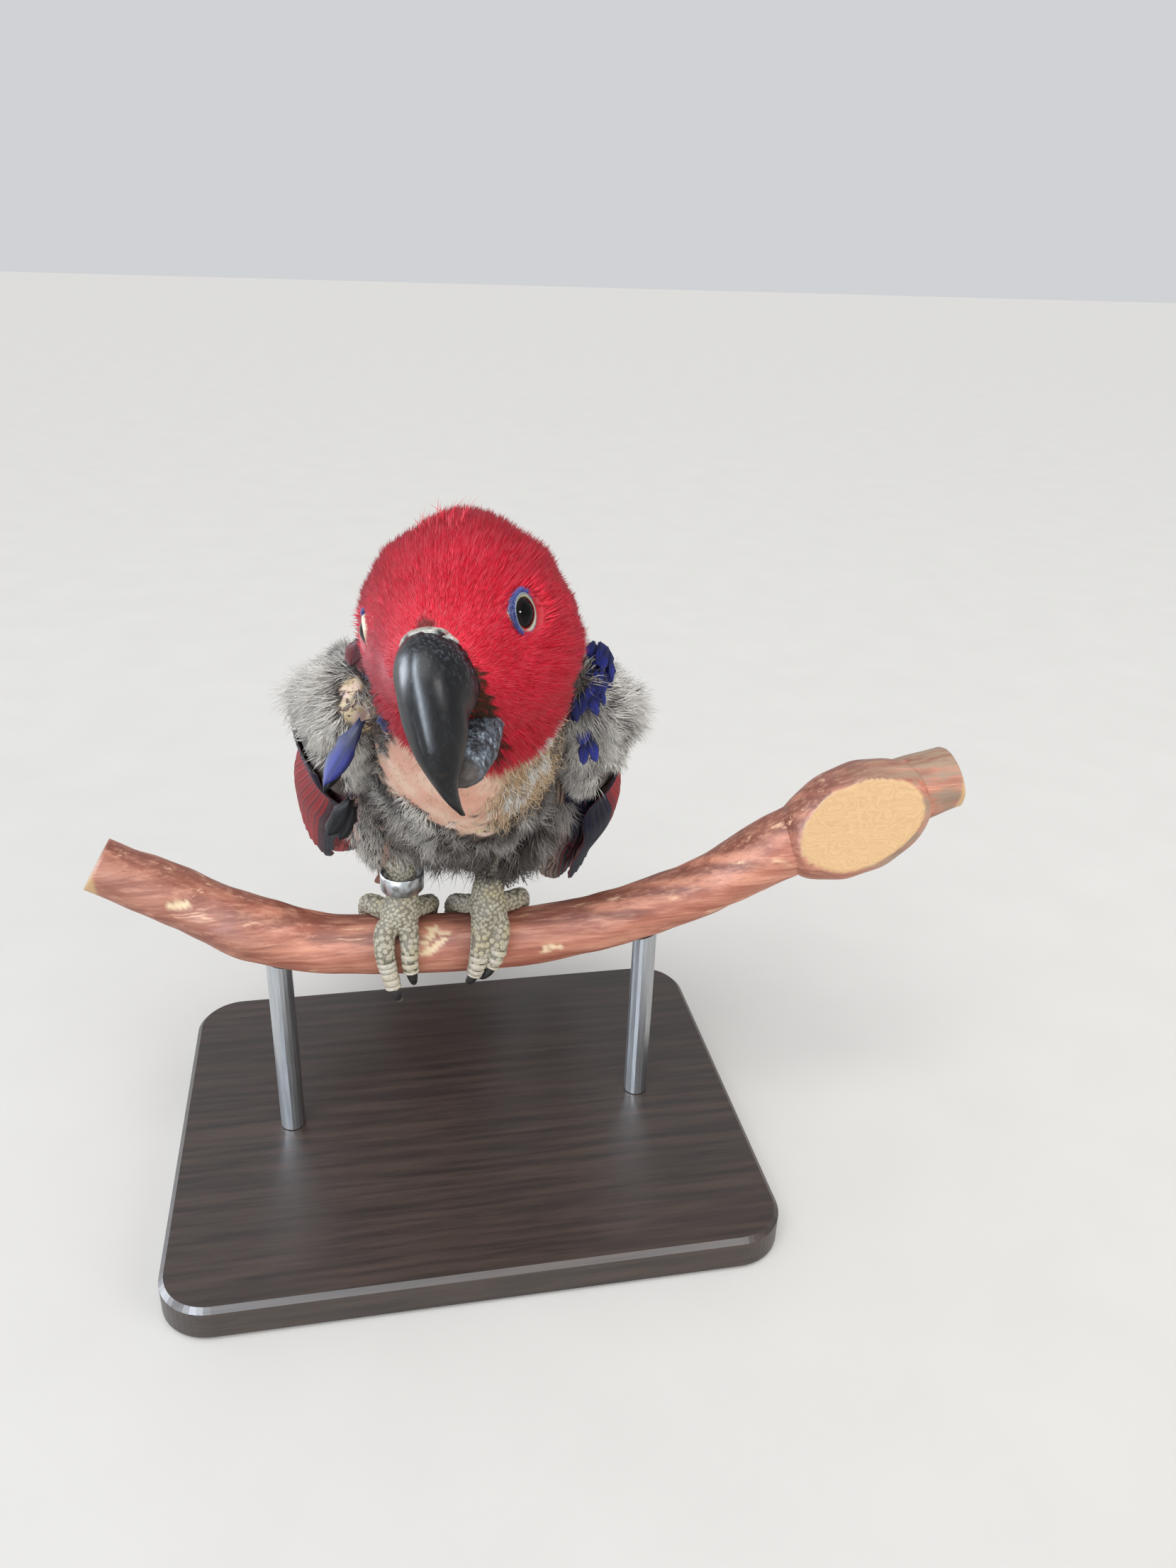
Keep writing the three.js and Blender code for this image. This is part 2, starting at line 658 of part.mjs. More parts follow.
// Legs, toes and claws. Thighs and shanks are cut clear of the trunk, toes of the foot before them
const branchGrown = branch(gap);
const thighsGrown = [];
for (const [side, leg] of Object.entries(legs)) {
  const thighGrown = rowsToTube(leg.thigh, { sides: 12, rings: 6, extra: wide });
  thighsGrown.push(thighGrown);
  const shankWhole = rowsToTube(leg.shank, { sides: 12, rings: 6 });
  const palmGrown = rowsToTube(leg.palm, { sides: 12, rings: 4, extra: wide });
  const shank = shankWhole.add(rowsToTube(leg.palm, { sides: 12, rings: 4 }));
  const shankCut = shank.subtract(thighGrown).subtract(branchGrown).subtract(trunkGrown);
  const thigh = rowsToTube(leg.thigh, { sides: 12, rings: 6 }).subtract(trunkGrown);
  bird.add(node(`thigh_${side}`, thigh, "down"));
  bird.add(node(`shank_${side}`, shankCut, "scales"));
  const claws = [];
  const taken = [palmGrown, rowsToTube(leg.shank, { sides: 12, rings: 6, extra: wide })];
  for (const [number, toe] of Object.entries(leg.toes)) {
    const line = toeLine(toe);
    const radii = [toe.r[0], toe.r[0], toe.r[1], toe.r[2]];
    const shape = { sides: 8, rings: 9 };
    let toeSolid = solidOf(tube(line, radii, { ...shape, ridge: 0.28 })).subtract(branchGrown);
    for (const other of taken) toeSolid = toeSolid.subtract(other);
    const toeGrown = solidOf(tube(line, radii, { ...shape, extra: wide + 0.28 }));
    taken.push(toeGrown);
    const clawTube = solidOf(tube(clawLine(line), [2.1, 1.9, 1.3, 0.4], { sides: 7, rings: 5 }));
    bird.add(node(`toe_${side}_${number}`, toeSolid, "scales"));
    claws.push([`claw_${side}_${number}`, clawTube]);
  }
  for (const [name, clawTube] of claws) {
    const free = taken.reduce((solid, other) => solid.subtract(other), clawTube);
    bird.add(node(name, free.subtract(branchGrown), "claw"));
  }
}
bird.add(node("torso", torsoWhole, "skin"));

// Wings and tail
const clear = [trunkGrown, ...thighsGrown];
for (const [side, name] of [[1, "left"], [-1, "right"]]) {
  let solid = wing(side);
  for (const other of clear) solid = solid.subtract(other);
  bird.add(node(`wing_${name}`, solid, "wing"));
}
bird.add(node("tail", tailFan().subtract(trunkGrown), "tail"));

// Leg band
const bandSection = [
  [0, -ring.height / 2],
  [ring.outer - ring.inner, -ring.height / 2],
  [ring.outer - ring.inner, ring.height / 2],
  [0, ring.height / 2],
];
const bandTurn = new THREE.Matrix4().makeRotationX(degToRad(90 + 6)).setPosition(V(-18.3, -3.3, 27.3));
bird.add(node("leg_band", hoop(ring.inner, bandSection, 28, bandTurn), "band"));

// Branch and stand
bird.add(node("perch_branch", perchBranch(), "wood"));
const outline = new THREE.Shape();
const halfWidth = base.width / 2 - base.corner;
const halfDepth = base.depth / 2 - base.corner;
outline.absarc(halfWidth, halfDepth, base.corner - base.bevel, 0, Math.PI / 2);
outline.absarc(-halfWidth, halfDepth, base.corner - base.bevel, Math.PI / 2, Math.PI);
outline.absarc(-halfWidth, -halfDepth, base.corner - base.bevel, Math.PI, 1.5 * Math.PI);
outline.absarc(halfWidth, -halfDepth, base.corner - base.bevel, 1.5 * Math.PI, 2 * Math.PI);
const slab = new THREE.ExtrudeGeometry(outline, {
  depth: base.height - 2 * base.bevel,
  bevelThickness: base.bevel,
  bevelSize: base.bevel,
  bevelSegments: 1,
  curveSegments: 6,
});
slab.translate(0, 0, base.bevel);
object.add(node("stand_base", solidOf(slab), "base"));
const branchOver = branchGrown.translate([0, 0, perchHeight]);
rod.at.forEach((x, i) => {
  const foot = base.height + gap;
  const top = perchHeight + branchTable(x)[1];
  const post = new THREE.CylinderGeometry(rod.radius, rod.radius, top - foot, 20);
  post.rotateX(Math.PI / 2);
  post.translate(x, 0, (top + foot) / 2);
  object.add(node(`stand_rod_${i ? "left" : "right"}`, solidOf(post).subtract(branchOver), "rod"));
});

export default object;
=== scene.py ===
# %% [markdown]
# # A perched eclectus parrot hen
# The real thing is a live parrot hen with a full red hood and a plucked body, shown here as a
# still, life-size model on a cut branch over a small stand. The packed CAD model gives every
# place and size. Blender adds what CAD left plain: one skin, the coat, flight feathers, scales,
# wood and metal. The frame is loaded first, because each piece is measured from it.

# %% Load the frame
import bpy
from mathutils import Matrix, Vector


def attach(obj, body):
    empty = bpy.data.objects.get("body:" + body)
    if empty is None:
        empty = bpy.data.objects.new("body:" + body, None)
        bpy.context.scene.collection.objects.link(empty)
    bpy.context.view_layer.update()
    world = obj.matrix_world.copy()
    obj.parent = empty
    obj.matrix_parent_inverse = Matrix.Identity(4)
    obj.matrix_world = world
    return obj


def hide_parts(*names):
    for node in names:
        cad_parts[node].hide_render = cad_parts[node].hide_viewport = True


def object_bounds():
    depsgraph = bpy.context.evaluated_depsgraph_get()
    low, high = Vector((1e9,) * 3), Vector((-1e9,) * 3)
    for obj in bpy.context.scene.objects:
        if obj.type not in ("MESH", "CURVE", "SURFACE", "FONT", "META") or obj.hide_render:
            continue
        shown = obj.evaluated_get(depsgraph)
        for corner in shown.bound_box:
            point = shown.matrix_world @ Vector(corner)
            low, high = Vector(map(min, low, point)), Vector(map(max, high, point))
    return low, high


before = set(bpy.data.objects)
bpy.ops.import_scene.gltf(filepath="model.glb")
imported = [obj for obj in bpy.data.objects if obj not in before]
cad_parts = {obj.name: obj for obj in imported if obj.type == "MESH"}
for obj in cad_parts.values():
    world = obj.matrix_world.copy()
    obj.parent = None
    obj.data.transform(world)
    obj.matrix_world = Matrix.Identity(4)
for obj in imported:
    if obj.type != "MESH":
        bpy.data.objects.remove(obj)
cad_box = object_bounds()
print("CAD nodes:", len(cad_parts), "box:", cad_box)

# %% Modules
import math
import bpy
import numpy as np
from mathutils import Matrix, Vector
from mathutils.bvhtree import BVHTree

MM = 0.001  # shapes are worked out in millimetres and become metres when a mesh is made

# %% [markdown]
# ## Camera
# The photograph looks down on the bird from the front. The camera is described by where it
# stands and by its three directions, which keeps the picture level without any fitting.
# Features that only the photograph places, such as a lone blue feather, are found later by
# sending a ray from here through their pixel until it meets the skin.

# %% Camera
PHOTO = (1659, 2212)
FOCAL = 1662  # in pixels of the photograph
CAMERA_AT = np.array([-28.8, -326.0, 293.3])
AHEAD = np.array([0.1877, 0.8832, -0.4297])
RIGHT = np.array([0.9808, -0.1920, 0.0339])
UPWARD = np.array([0.0526, 0.4278, 0.9023])
SENSOR = 36.0

camera = bpy.data.objects.new("camera", bpy.data.cameras.new("camera"))
bpy.context.collection.objects.link(camera)
camera.data.sensor_width = SENSOR
camera.data.lens = SENSOR * FOCAL / max(PHOTO)
camera.data.clip_start = 0.02
turned = Matrix([RIGHT.tolist(), UPWARD.tolist(), (-AHEAD).tolist()]).transposed()
camera.matrix_world = Matrix.Translation((CAMERA_AT * MM).tolist()) @ turned.to_4x4()
bpy.context.scene.camera = camera
print("lens:", round(camera.data.lens, 2), "mm")

# %% [markdown]
# ## Numbers along a form
# A body, a bill or a branch is described by a short table of sizes at a few places. Reading
# such a table smoothly gives a soft form from few numbers. The same tables shaped the solids,
# so the skin meets them everywhere.

# %% Vectors and tables
def unit(v):
    return v / np.maximum(np.linalg.norm(v, axis=-1, keepdims=True), 1e-9)


def dot(a, b):
    return np.sum(a * b, axis=-1, keepdims=True)


def lerp(a, b, t):
    return a + (b - a) * t


def ease(value, start, end):
    """0 before start, 1 after end, and a soft step between them."""
    t = np.clip((value - start) / (end - start), 0, 1)
    return t * t * (3 - 2 * t)


def hump(value, width):
    """1 where the value is 0, falling softly to both sides."""
    return np.exp(-((value / width) ** 2))


def table(rows):
    """Reads rows whose first column is the key. Gives the other columns at any key."""
    rows = np.array(rows, float)
    keys, values = rows[:, 0], rows[:, 1:]
    last = len(keys) - 1

    def read(key):
        key = np.clip(np.asarray(key, float), keys[0], keys[-1])
        i = np.clip(np.searchsorted(keys, key, side="right") - 1, 0, last - 1)
        t = ((key - keys[i]) / (keys[i + 1] - keys[i]))[..., None]
        a, b, c, d = (values[np.clip(i + k, 0, last)] for k in (-1, 0, 1, 2))
        smooth = b + 0.5 * t * (c - a + t * (2 * a - 5 * b + 4 * c - d + t * (3 * (b - c) + d - a)))
        return np.clip(smooth, np.minimum(b, c), np.maximum(b, c))

    return read


def wander(points, size, seed, waves=7):
    """A smooth random field over points, mostly between -1 and 1, whose humps are about size wide."""
    draw = np.random.default_rng(seed)
    total = np.zeros(points.shape[:-1])
    for _ in range(waves):
        way = unit(draw.normal(size=points.shape[-1])) * 2 * np.pi / (size * draw.uniform(0.7, 1.6))
        total += np.sin(points @ way + draw.uniform(0, 6.3))
    return total / math.sqrt(waves)


print("half of 10 along a small table:", table([[0, 0], [10, 4], [20, 5]])(10.0))

# %% [markdown]
# ## Places on the bird
# Two frames carry everything. The trunk has a line from the neck's root back and down to the
# tail's root, and a place on it is a distance along, a distance across and a height above that
# line. The head has its own frame, turned to the bird's right, with x towards the bill.

# %% The trunk's and the head's frames
PERCH_HEIGHT = 80
NECK_ROOT = np.array([0, -40, 109.0 + PERCH_HEIGHT])
TAIL_ROOT = np.array([0, 50, 36.0 + PERCH_HEIGHT])
ALONG = unit(TAIL_ROOT - NECK_ROOT)
DORSAL = np.array([0, -ALONG[2], ALONG[1]])
SIDEWAYS = np.array([1.0, 0, 0])
HEAD_AT = np.array([-3.6, -56.4, 125.2 + PERCH_HEIGHT])
HEAD_TURN = {"yaw": -112, "pitch": 5, "roll": 12.5}


def column(values):
    return np.asarray(values, float)[..., None]


def trunk_point(s, x, n):
    return NECK_ROOT + column(s) * ALONG + column(x) * SIDEWAYS + column(n) * DORSAL


def trunk_place(points):
    away = points - NECK_ROOT
    return away @ ALONG, points[..., 0], away @ DORSAL


turns = [
    Matrix.Rotation(math.radians(HEAD_TURN[name]), 3, axis)
    for name, axis in (("yaw", "Z"), ("pitch", "Y"), ("roll", "X"))
]
HEAD = np.array(turns[0] @ turns[1] @ turns[2])


def head_point(x, y, z):
    return HEAD_AT + np.stack(np.broadcast_arrays(x, y, z), -1) @ HEAD.T


def head_place(points):
    return np.moveaxis((points - HEAD_AT) @ HEAD, -1, 0)


print("the bill points to", np.round(HEAD[:, 0], 2), "and the crown to", np.round(HEAD[:, 2], 2))

# %% Tables of the body
TRUNK = table([
    [-26, 14, 12, 15], [-20, 21, 17, 21], [-8, 25, 20, 27], [4, 26.5, 21.5, 31],
    [18, 29, 23.5, 35.5], [38, 31.5, 26, 38.5], [60, 32.5, 26.5, 40], [80, 31, 24.5, 38.5],
    [96, 25.5, 20, 30], [108, 18.5, 14.5, 19], [115, 12.5, 10, 11],
])  # place along, half width, back, belly
SKULL = table([
    [-28.5, 8, 7, -11], [-25, 15.5, 15, -19], [-17, 23, 22.5, -25.5], [-6, 27, 25.5, -28],
    [4, 25, 24, -27], [11, 20.5, 20.5, -23], [17, 15.8, 16, -17], [20, 13.6, 12.8, -12.5],
    [23, 11, 8.6, -6.5],
])  # place along, half width, crown, chin
SKULL_MIDDLE = 0.54  # from crown to chin, where the head is widest
ARM = table([
    [8, 30, 0, 5, 7], [12, 31.5, -0.5, 9, 12], [20, 33.5, -1, 12.5, 17], [32, 34.5, -2, 13.5, 20],
    [46, 34.5, -4, 12, 20], [60, 34.5, -6, 10, 18], [73, 35, -7.5, 7.5, 14],
    [84, 35.5, -9, 4.8, 9], [91, 36, -9.5, 2.4, 4.5],
])  # place along, distance out, height, half width, half height
HANG = {1: (0.055, 0.07), -1: (-0.03, 0.008)}  # droop and flare of the left and the right wing
SIDE_NAME = {1: "left", -1: "right"}


def settle(side, s, x, n):
    droop, flare = HANG[side]
    return trunk_point(s, side * (x + flare * s), n - droop * s)


print("half width of the trunk at its middle:", TRUNK(45.0)[0])

# %% [markdown]
# ## Meshes from arrays
# The coat has many thousand small solids. Making them one by one would take minutes, so each
# form is worked out for all its copies at once as an array of points, and one helper turns the
# arrays into a mesh with its values per point and its unwrap. Another helper closes a stack of
# rings into a skin, and a third closes grids of points into thin plates.

# %% Mesh helpers
def join_sets(sets):
    """Puts several (points, faces) into one. Faces of three and of four corners stay apart."""
    points, faces, start = [], {3: [], 4: []}, 0
    for some_points, some_faces in sets:
        for face_set in some_faces:
            faces[face_set.shape[1]].append(face_set + start)
        points.append(some_points)
        start += len(some_points)
    return np.concatenate(points), [np.concatenate(f) for f in faces.values() if f]


def mesh_of(name, points, faces):
    mesh = bpy.data.meshes.new(name)
    sizes = np.concatenate([np.full(len(f), f.shape[1]) for f in faces])
    corners = np.concatenate([f.ravel() for f in faces]).astype(np.int32)
    mesh.vertices.add(len(points))
    mesh.vertices.foreach_set("co", (points * MM).ravel())
    mesh.loops.add(len(corners))
    mesh.loops.foreach_set("vertex_index", corners)
    mesh.polygons.add(len(sizes))
    mesh.polygons.foreach_set("loop_start", np.cumsum(sizes) - sizes)
    mesh.polygons.foreach_set("use_smooth", np.full(len(sizes), True))
    mesh.update(calc_edges=True)
    return mesh


def set_fields(mesh, **fields):
    """Keeps values per point under the names by which a finish reads them."""
    for name, values in fields.items():
        field = mesh.attributes.new(name, "FLOAT", "POINT")
        field.data.foreach_set("value", np.ascontiguousarray(values, np.float32).ravel())


def set_unwrap(mesh, uv):
    corners = np.zeros(len(mesh.loops), np.int32)
    mesh.loops.foreach_get("vertex_index", corners)
    layer = mesh.uv_layers.new(name="OFBake")
    layer.data.foreach_set("uv", np.ascontiguousarray(uv[corners], np.float32).ravel())


def add_piece(name, mesh, material, stands_for=()):
    """Shows a mesh as a piece of the bird or its perch, in the finish of a slot."""
    piece = bpy.data.objects.new(name, mesh)
    bpy.context.collection.objects.link(piece)
    mesh.materials.clear()
    mesh.materials.append(material)
    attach(piece, "root")
    if stands_for:
        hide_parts(*stands_for)
    print(name, "has", len(mesh.polygons), "faces")
    return piece


one_point = (np.zeros((1, 3)), [np.zeros((1, 3), int)])
print("two sets of one point join to", len(join_sets([one_point] * 2)[0]), "points")

# %% Rings
def circle(count):
    """Angles that go once round."""
    return np.linspace(0, 2 * np.pi, count, endpoint=False)


def ring_faces(rings, sides):
    """Quads between rings of points, and a fan that closes each end on one more point."""
    at = np.arange(rings - 1)[:, None] * sides + np.arange(sides)
    after = np.arange(rings - 1)[:, None] * sides + (np.arange(sides) + 1) % sides
    quads = np.stack([at, after, after + sides, at + sides], -1).reshape(-1, 4)
    k = np.arange(sides)
    last, ends = (rings - 1) * sides, rings * sides
    first_fan = np.stack([np.full(sides, ends), (k + 1) % sides, k], -1)
    last_fan = np.stack([np.full(sides, ends + 1), last + k, last + (k + 1) % sides], -1)
    return [np.concatenate([first_fan, last_fan]), quads]


def skin_of(rings):
    """Closes rings, an array of ring by side by place, into one skin."""
    count, sides, _ = rings.shape
    points = np.concatenate([rings.reshape(-1, 3), rings[[0, -1]].mean(1)])
    return points, ring_faces(count, sides)


def egg(width, top, bottom, sides):
    """Rings of half an ellipse over and half under a middle, as offsets across and up."""
    a = circle(sides)
    rise = np.sin(a) * np.where(np.sin(a) > 0, column(top), column(bottom))
    return column(width) * np.cos(a), rise


def smooth_line(points, count):
    """count places along a soft line through points, with any further columns."""
    keys = np.linspace(0, 1, len(points))
    return table(np.column_stack([keys, np.array(points, float)]))(np.linspace(0, 1, count))


print("rings of 5 by 8 points have", sum(map(len, ring_faces(5, 8))), "faces")

# %% Tubes
def tube_frames(line, up):
    """Directions at each place of a line: ahead, above (nearest to up) and to the side."""
    ahead = unit(np.gradient(line, axis=0))
    above = unit(up - dot(up, ahead) * ahead)
    return ahead, above, np.cross(ahead, above)


def tube_rings(line, radius, sides, up):
    """Round rings along a line, with rounded ends."""
    ahead, above, side = tube_frames(line, up)
    centers = np.concatenate([
        [line[0] - ahead[0] * radius[0] * 0.55], line, [line[-1] + ahead[-1] * radius[-1] * 0.55],
    ])
    pick = np.concatenate([[0], np.arange(len(line)), [len(line) - 1]])
    sized = np.concatenate([[radius[0] * 0.6], radius, [radius[-1] * 0.6]])
    a = circle(sides)[None, :, None]
    around = np.cos(a) * above[pick][:, None] + np.sin(a) * side[pick][:, None]
    return centers[:, None] + sized[:, None, None] * around


print("a tube of 5 places has", len(tube_rings(np.eye(5, 3), np.ones(5), 8, np.ones(3))), "rings")

# %% Plates and closed bands
def plates(tops, unders):
    """Closes grids of points, an array of plate by row by column by place, into thin solids."""
    count, rows, columns, _ = tops.shape
    points = np.concatenate([tops.reshape(count, -1, 3), unders.reshape(count, -1, 3)], 1)
    index = np.arange(rows * columns).reshape(rows, columns)
    top = np.stack([index[:-1, :-1], index[:-1, 1:], index[1:, 1:], index[1:, :-1]], -1).reshape(-1, 4)
    under = top[:, ::-1] + rows * columns
    rim = np.concatenate([index[0, :], index[1:, -1], index[-1, -2::-1], index[-2:0:-1, 0]])
    after = np.roll(rim, -1)
    wall = np.stack([after, rim, rim + rows * columns, after + rows * columns], -1)
    faces = np.concatenate([top, under, wall])
    step = 2 * rows * columns
    faces = (faces[None] + (np.arange(count) * step)[:, None, None]).reshape(-1, 4)
    return points.reshape(-1, 3), [faces]


def both_sides(values, shape):
    """Values of the tops of plates, given again for their undersides."""
    flat = np.broadcast_to(values, shape).reshape(shape[0], -1)
    return np.concatenate([flat, flat], 1).ravel()


def wrapped_faces(steps, across):
    """Quads of a grid that closes on itself both ways."""
    index = np.arange(steps * across).reshape(steps, across)
    after = np.roll(index, -1, 0)
    return np.stack([index, after, np.roll(after, -1, 1), np.roll(index, -1, 1)], -1).reshape(-1, 4)


square = np.zeros((1, 2, 2, 3))
print("a plate of 2 by 2 points has", len(plates(square, square + 1)[1][0]), "faces")

# %% [markdown]
# ## Materials as sums
# A finish is easier to read as arithmetic than as a drawing of nodes. A small class wraps what
# leaves a node, and adding or multiplying such values adds the Math nodes. Colours are mixed by
# a Mix node, since arithmetic would turn them grey. Any other node comes from one method.

# %% Wire
class Wire:
    """A value that leaves a node. Arithmetic on it adds Math nodes."""

    def __init__(self, tree, socket):
        self.tree, self.socket = tree, socket

    def node(self, kind, settings=None, inputs=None, output=0):
        made = self.tree.nodes.new(kind)
        for name, value in (settings or {}).items():
            setattr(made, name, value)
        for name, value in (inputs or {}).items():
            self.feed(made.inputs[name], value)
        return Wire(self.tree, made.outputs[output])

    def feed(self, socket, value):
        if isinstance(value, Wire):
            self.tree.links.new(value.socket, socket)
        else:
            socket.default_value = value

    def maths(self, operation, *values):
        return self.node("ShaderNodeMath", {"operation": operation}, dict(enumerate(values)))

    def __add__(self, other):
        return self.maths("ADD", self, other)

    def __sub__(self, other):
        return self.maths("SUBTRACT", self, other)

    def __rsub__(self, other):
        return self.maths("SUBTRACT", other, self)

    def __mul__(self, other):
        return self.maths("MULTIPLY", self, other)

    def __abs__(self):
        return self.maths("ABSOLUTE", self)

    __radd__, __rmul__ = __add__, __mul__

    def rise(self, start, end):
        """0 at start, 1 at end, softly between."""
        inputs = {"Value": self, "From Min": start, "From Max": end}
        return self.node("ShaderNodeMapRange", {"interpolation_type": "SMOOTHSTEP"}, inputs)

    def mix(self, low, high):
        """The colour low where this value is 0 and high where it is 1, each a wire or 0 to 255."""
        low, high = (c if isinstance(c, Wire) else (*color(*c), 1) for c in (low, high))
        return self.node("ShaderNodeMix", {"data_type": "RGBA"}, {0: self, 6: low, 7: high}, output=2)

    def stretch(self, x, y, z):
        settings = {"operation": "MULTIPLY"}
        return self.node("ShaderNodeVectorMath", settings, {0: self, 1: (x, y, z)})

    def shift(self, other):
        return self.node("ShaderNodeVectorMath", {"operation": "ADD"}, {0: self, 1: other})

    def noise(self, size, detail=3.0, rough=0.5, output=0):
        """Soft noise with humps of about size millimetres."""
        inputs = {"Vector": self, "Scale": 1 / (size * MM), "Detail": detail, "Roughness": rough}
        return self.node("ShaderNodeTexNoise", {}, inputs, output)

    def cells(self, size, feature="F1", output=0):
        inputs = {"Vector": self, "Scale": 1 / (size * MM)}
        return self.node("ShaderNodeTexVoronoi", {"feature": feature}, inputs, output)

    def __getitem__(self, name):
        """The value that the mesh keeps under a name."""
        return self.node("ShaderNodeAttribute", {"attribute_name": name}, {}, output=2)

    def bump(self, depth, strength=1.0):
        """A normal from this height, where 1 stands for depth millimetres."""
        inputs = {"Height": self, "Distance": depth * MM, "Strength": strength}
        return self.node("ShaderNodeBump", {}, inputs)


print("a wire knows", sum(name.startswith("__r") for name in vars(Wire)), "reflected operators")

# %% Finishes
def look(base, rough, normal=None):
    """What a recipe gives to the shader."""
    given = {"Base Color": base, "Roughness": rough, "Normal": normal}
    return {socket: value for socket, value in given.items() if value is not None}


def finish(name, recipe, **fixed):
    """A material. The recipe gives what varies over the surface, and fixed what doesn't."""
    material = bpy.data.materials.new(name)
    material.use_nodes = True
    tree = material.node_tree
    shader = tree.nodes["Principled BSDF"]
    place = Wire(tree, None).node("ShaderNodeTexCoord", output=3)
    for socket, value in recipe(place).items():
        place.feed(shader.inputs[socket], value)
    for socket, value in fixed.items():
        shader.inputs[socket.replace("_", " ")].default_value = value
    return material


def color(red, green, blue):
    """A colour as it looks on a screen, from 0 to 255, in the linear values of a shader."""
    shown = np.array([red, green, blue]) / 255
    return tuple(float(c) for c in np.where(shown < 0.04, shown / 12.92, ((shown + 0.055) / 1.055) ** 2.4))


print("mid grey is", round(color(128, 128, 128)[0], 3))

# %% [markdown]
# ## The skin
# Under any coat lies one body. Head, neck, trunk, arms, thighs and feet are closed lofts a coat's
# depth inside the solids. A voxel remesh melts them into one skin without a seam, as a taxidermist
# wraps a form, and a short smoothing rounds the joins. Lofts alone would leave hard creases.

# %% Lofts of the skin
HOOD_EDGE = -7.0  # along the trunk, where the red hood ends


def coat_depth(s):
    """How far the trunk's skin lies inside the solid: across, on the back and on the belly."""
    belly = 0.6 * ease(s, -4, -12) + 0.5 + 2.3 * ease(s, 44, 60)
    return 0.8 + 0.8 * ease(s, -12, 0), 1.0 + 1.4 * ease(s, -12, 0), belly


def trunk_rings(count=44, sides=56):
    s = np.linspace(-26, 116, count)
    sizes = TRUNK(s).T - np.array(coat_depth(s))
    across, rise = egg(*sizes, sides)
    return trunk_point(s[:, None] + 0 * across, across, rise)


def skull_rings(count=40, sides=56):
    x = np.linspace(-26.5, 23, count)
    width, crown, chin = SKULL(x).T
    depth = 1.0 - 0.4 * ease(x, 12, 19)
    middle = lerp(crown, chin, SKULL_MIDDLE)
    across, rise = egg(width - depth, crown - middle - depth, middle - chin - depth, sides)
    return head_point(x[:, None] + 0 * across, across, middle[:, None] + rise)


def arm_rings(side, count=24, sides=30):
    s = np.linspace(8, 91, count)
    depth = 2.6 + 1.8 * ease(s, 40, 60)
    out, height, across, half = (ARM(s)[:, i] for i in range(4))
    high = np.maximum(half - depth, 1.2)
    e, h = egg(np.maximum(across - depth, 1.2), high, high, sides)
    flatter = 0.5 * ease(e / across[:, None], -0.1, 0.6) * ease(s, 40, 18)[:, None]
    h = np.where(h > 0, h * (1 - flatter), h)
    return settle(side, s[:, None] + 0 * e, out[:, None] + e, height[:, None] + h)


print("trunk rings:", trunk_rings().shape[:2], "skull rings:", skull_rings().shape[:2])

# %% Branch and legs
PERCH_RADIUS = 9.7
BRANCH_ROWS = [
    [-108, 3, 35.5, 9.2], [-84, 2, 21.5, 9.6], [-62, 0, 9.6, 10.6], [-42, 0, 3.3, 9.9],
    [-20, 0, 1.1, 9.7], [0, 0, 0, 9.7], [21, 0, 0.2, 9.7], [46, 0, 3.6, 9.9], [69, 0, 10, 9.9],
    [86, 0, 17, 10.2], [107, -1, 28.5, 11.6], [130, -1, 38.5, 13], [150, 0, 46.3, 12],
    [164, 1, 50, 11.2],
]  # place across, place back, height over the perch, radius
BRANCH = table(BRANCH_ROWS)
LEGS = {
    -1: {
        "thigh": [[-20, 17, 62, 13], [-24.5, 7, 50, 12.5], [-24, -1, 41, 9], [-20, -2.8, 36, 7]],
        "shank": [[-20, -2.8, 37, 5.2], [-19, -2.8, 33, 4.7], [-18.3, -3.3, 27, 4.7], [-18, -4, 21, 4.9],
                  [-18.8, -5, 17, 5.8]],
        "palm": [[-19.5, -8.6, 15.6, 5.4], [-19.2, -4.5, 16.4, 6.6], [-18.8, 0.5, 15.2, 5]],
    },
    1: {
        "thigh": [[20, 17, 60, 13], [22, 6, 49, 12.5], [18, -2, 37.5, 8.8], [12, -5, 31.5, 6.4]],
        "shank": [[13, -4.5, 34, 5.4], [12.5, -4.5, 32, 5], [9.6, -6, 27, 4.9], [8, -6, 21, 5.3],
                  [8, -6, 17, 6]],
        "palm": [[8.6, -9.2, 15, 5.3], [8.4, -5, 16.2, 6.6], [8.4, 0.5, 15.2, 5]],
    },
}
print("branch from", BRANCH_ROWS[0][0], "to", BRANCH_ROWS[-1][0], "mm across")

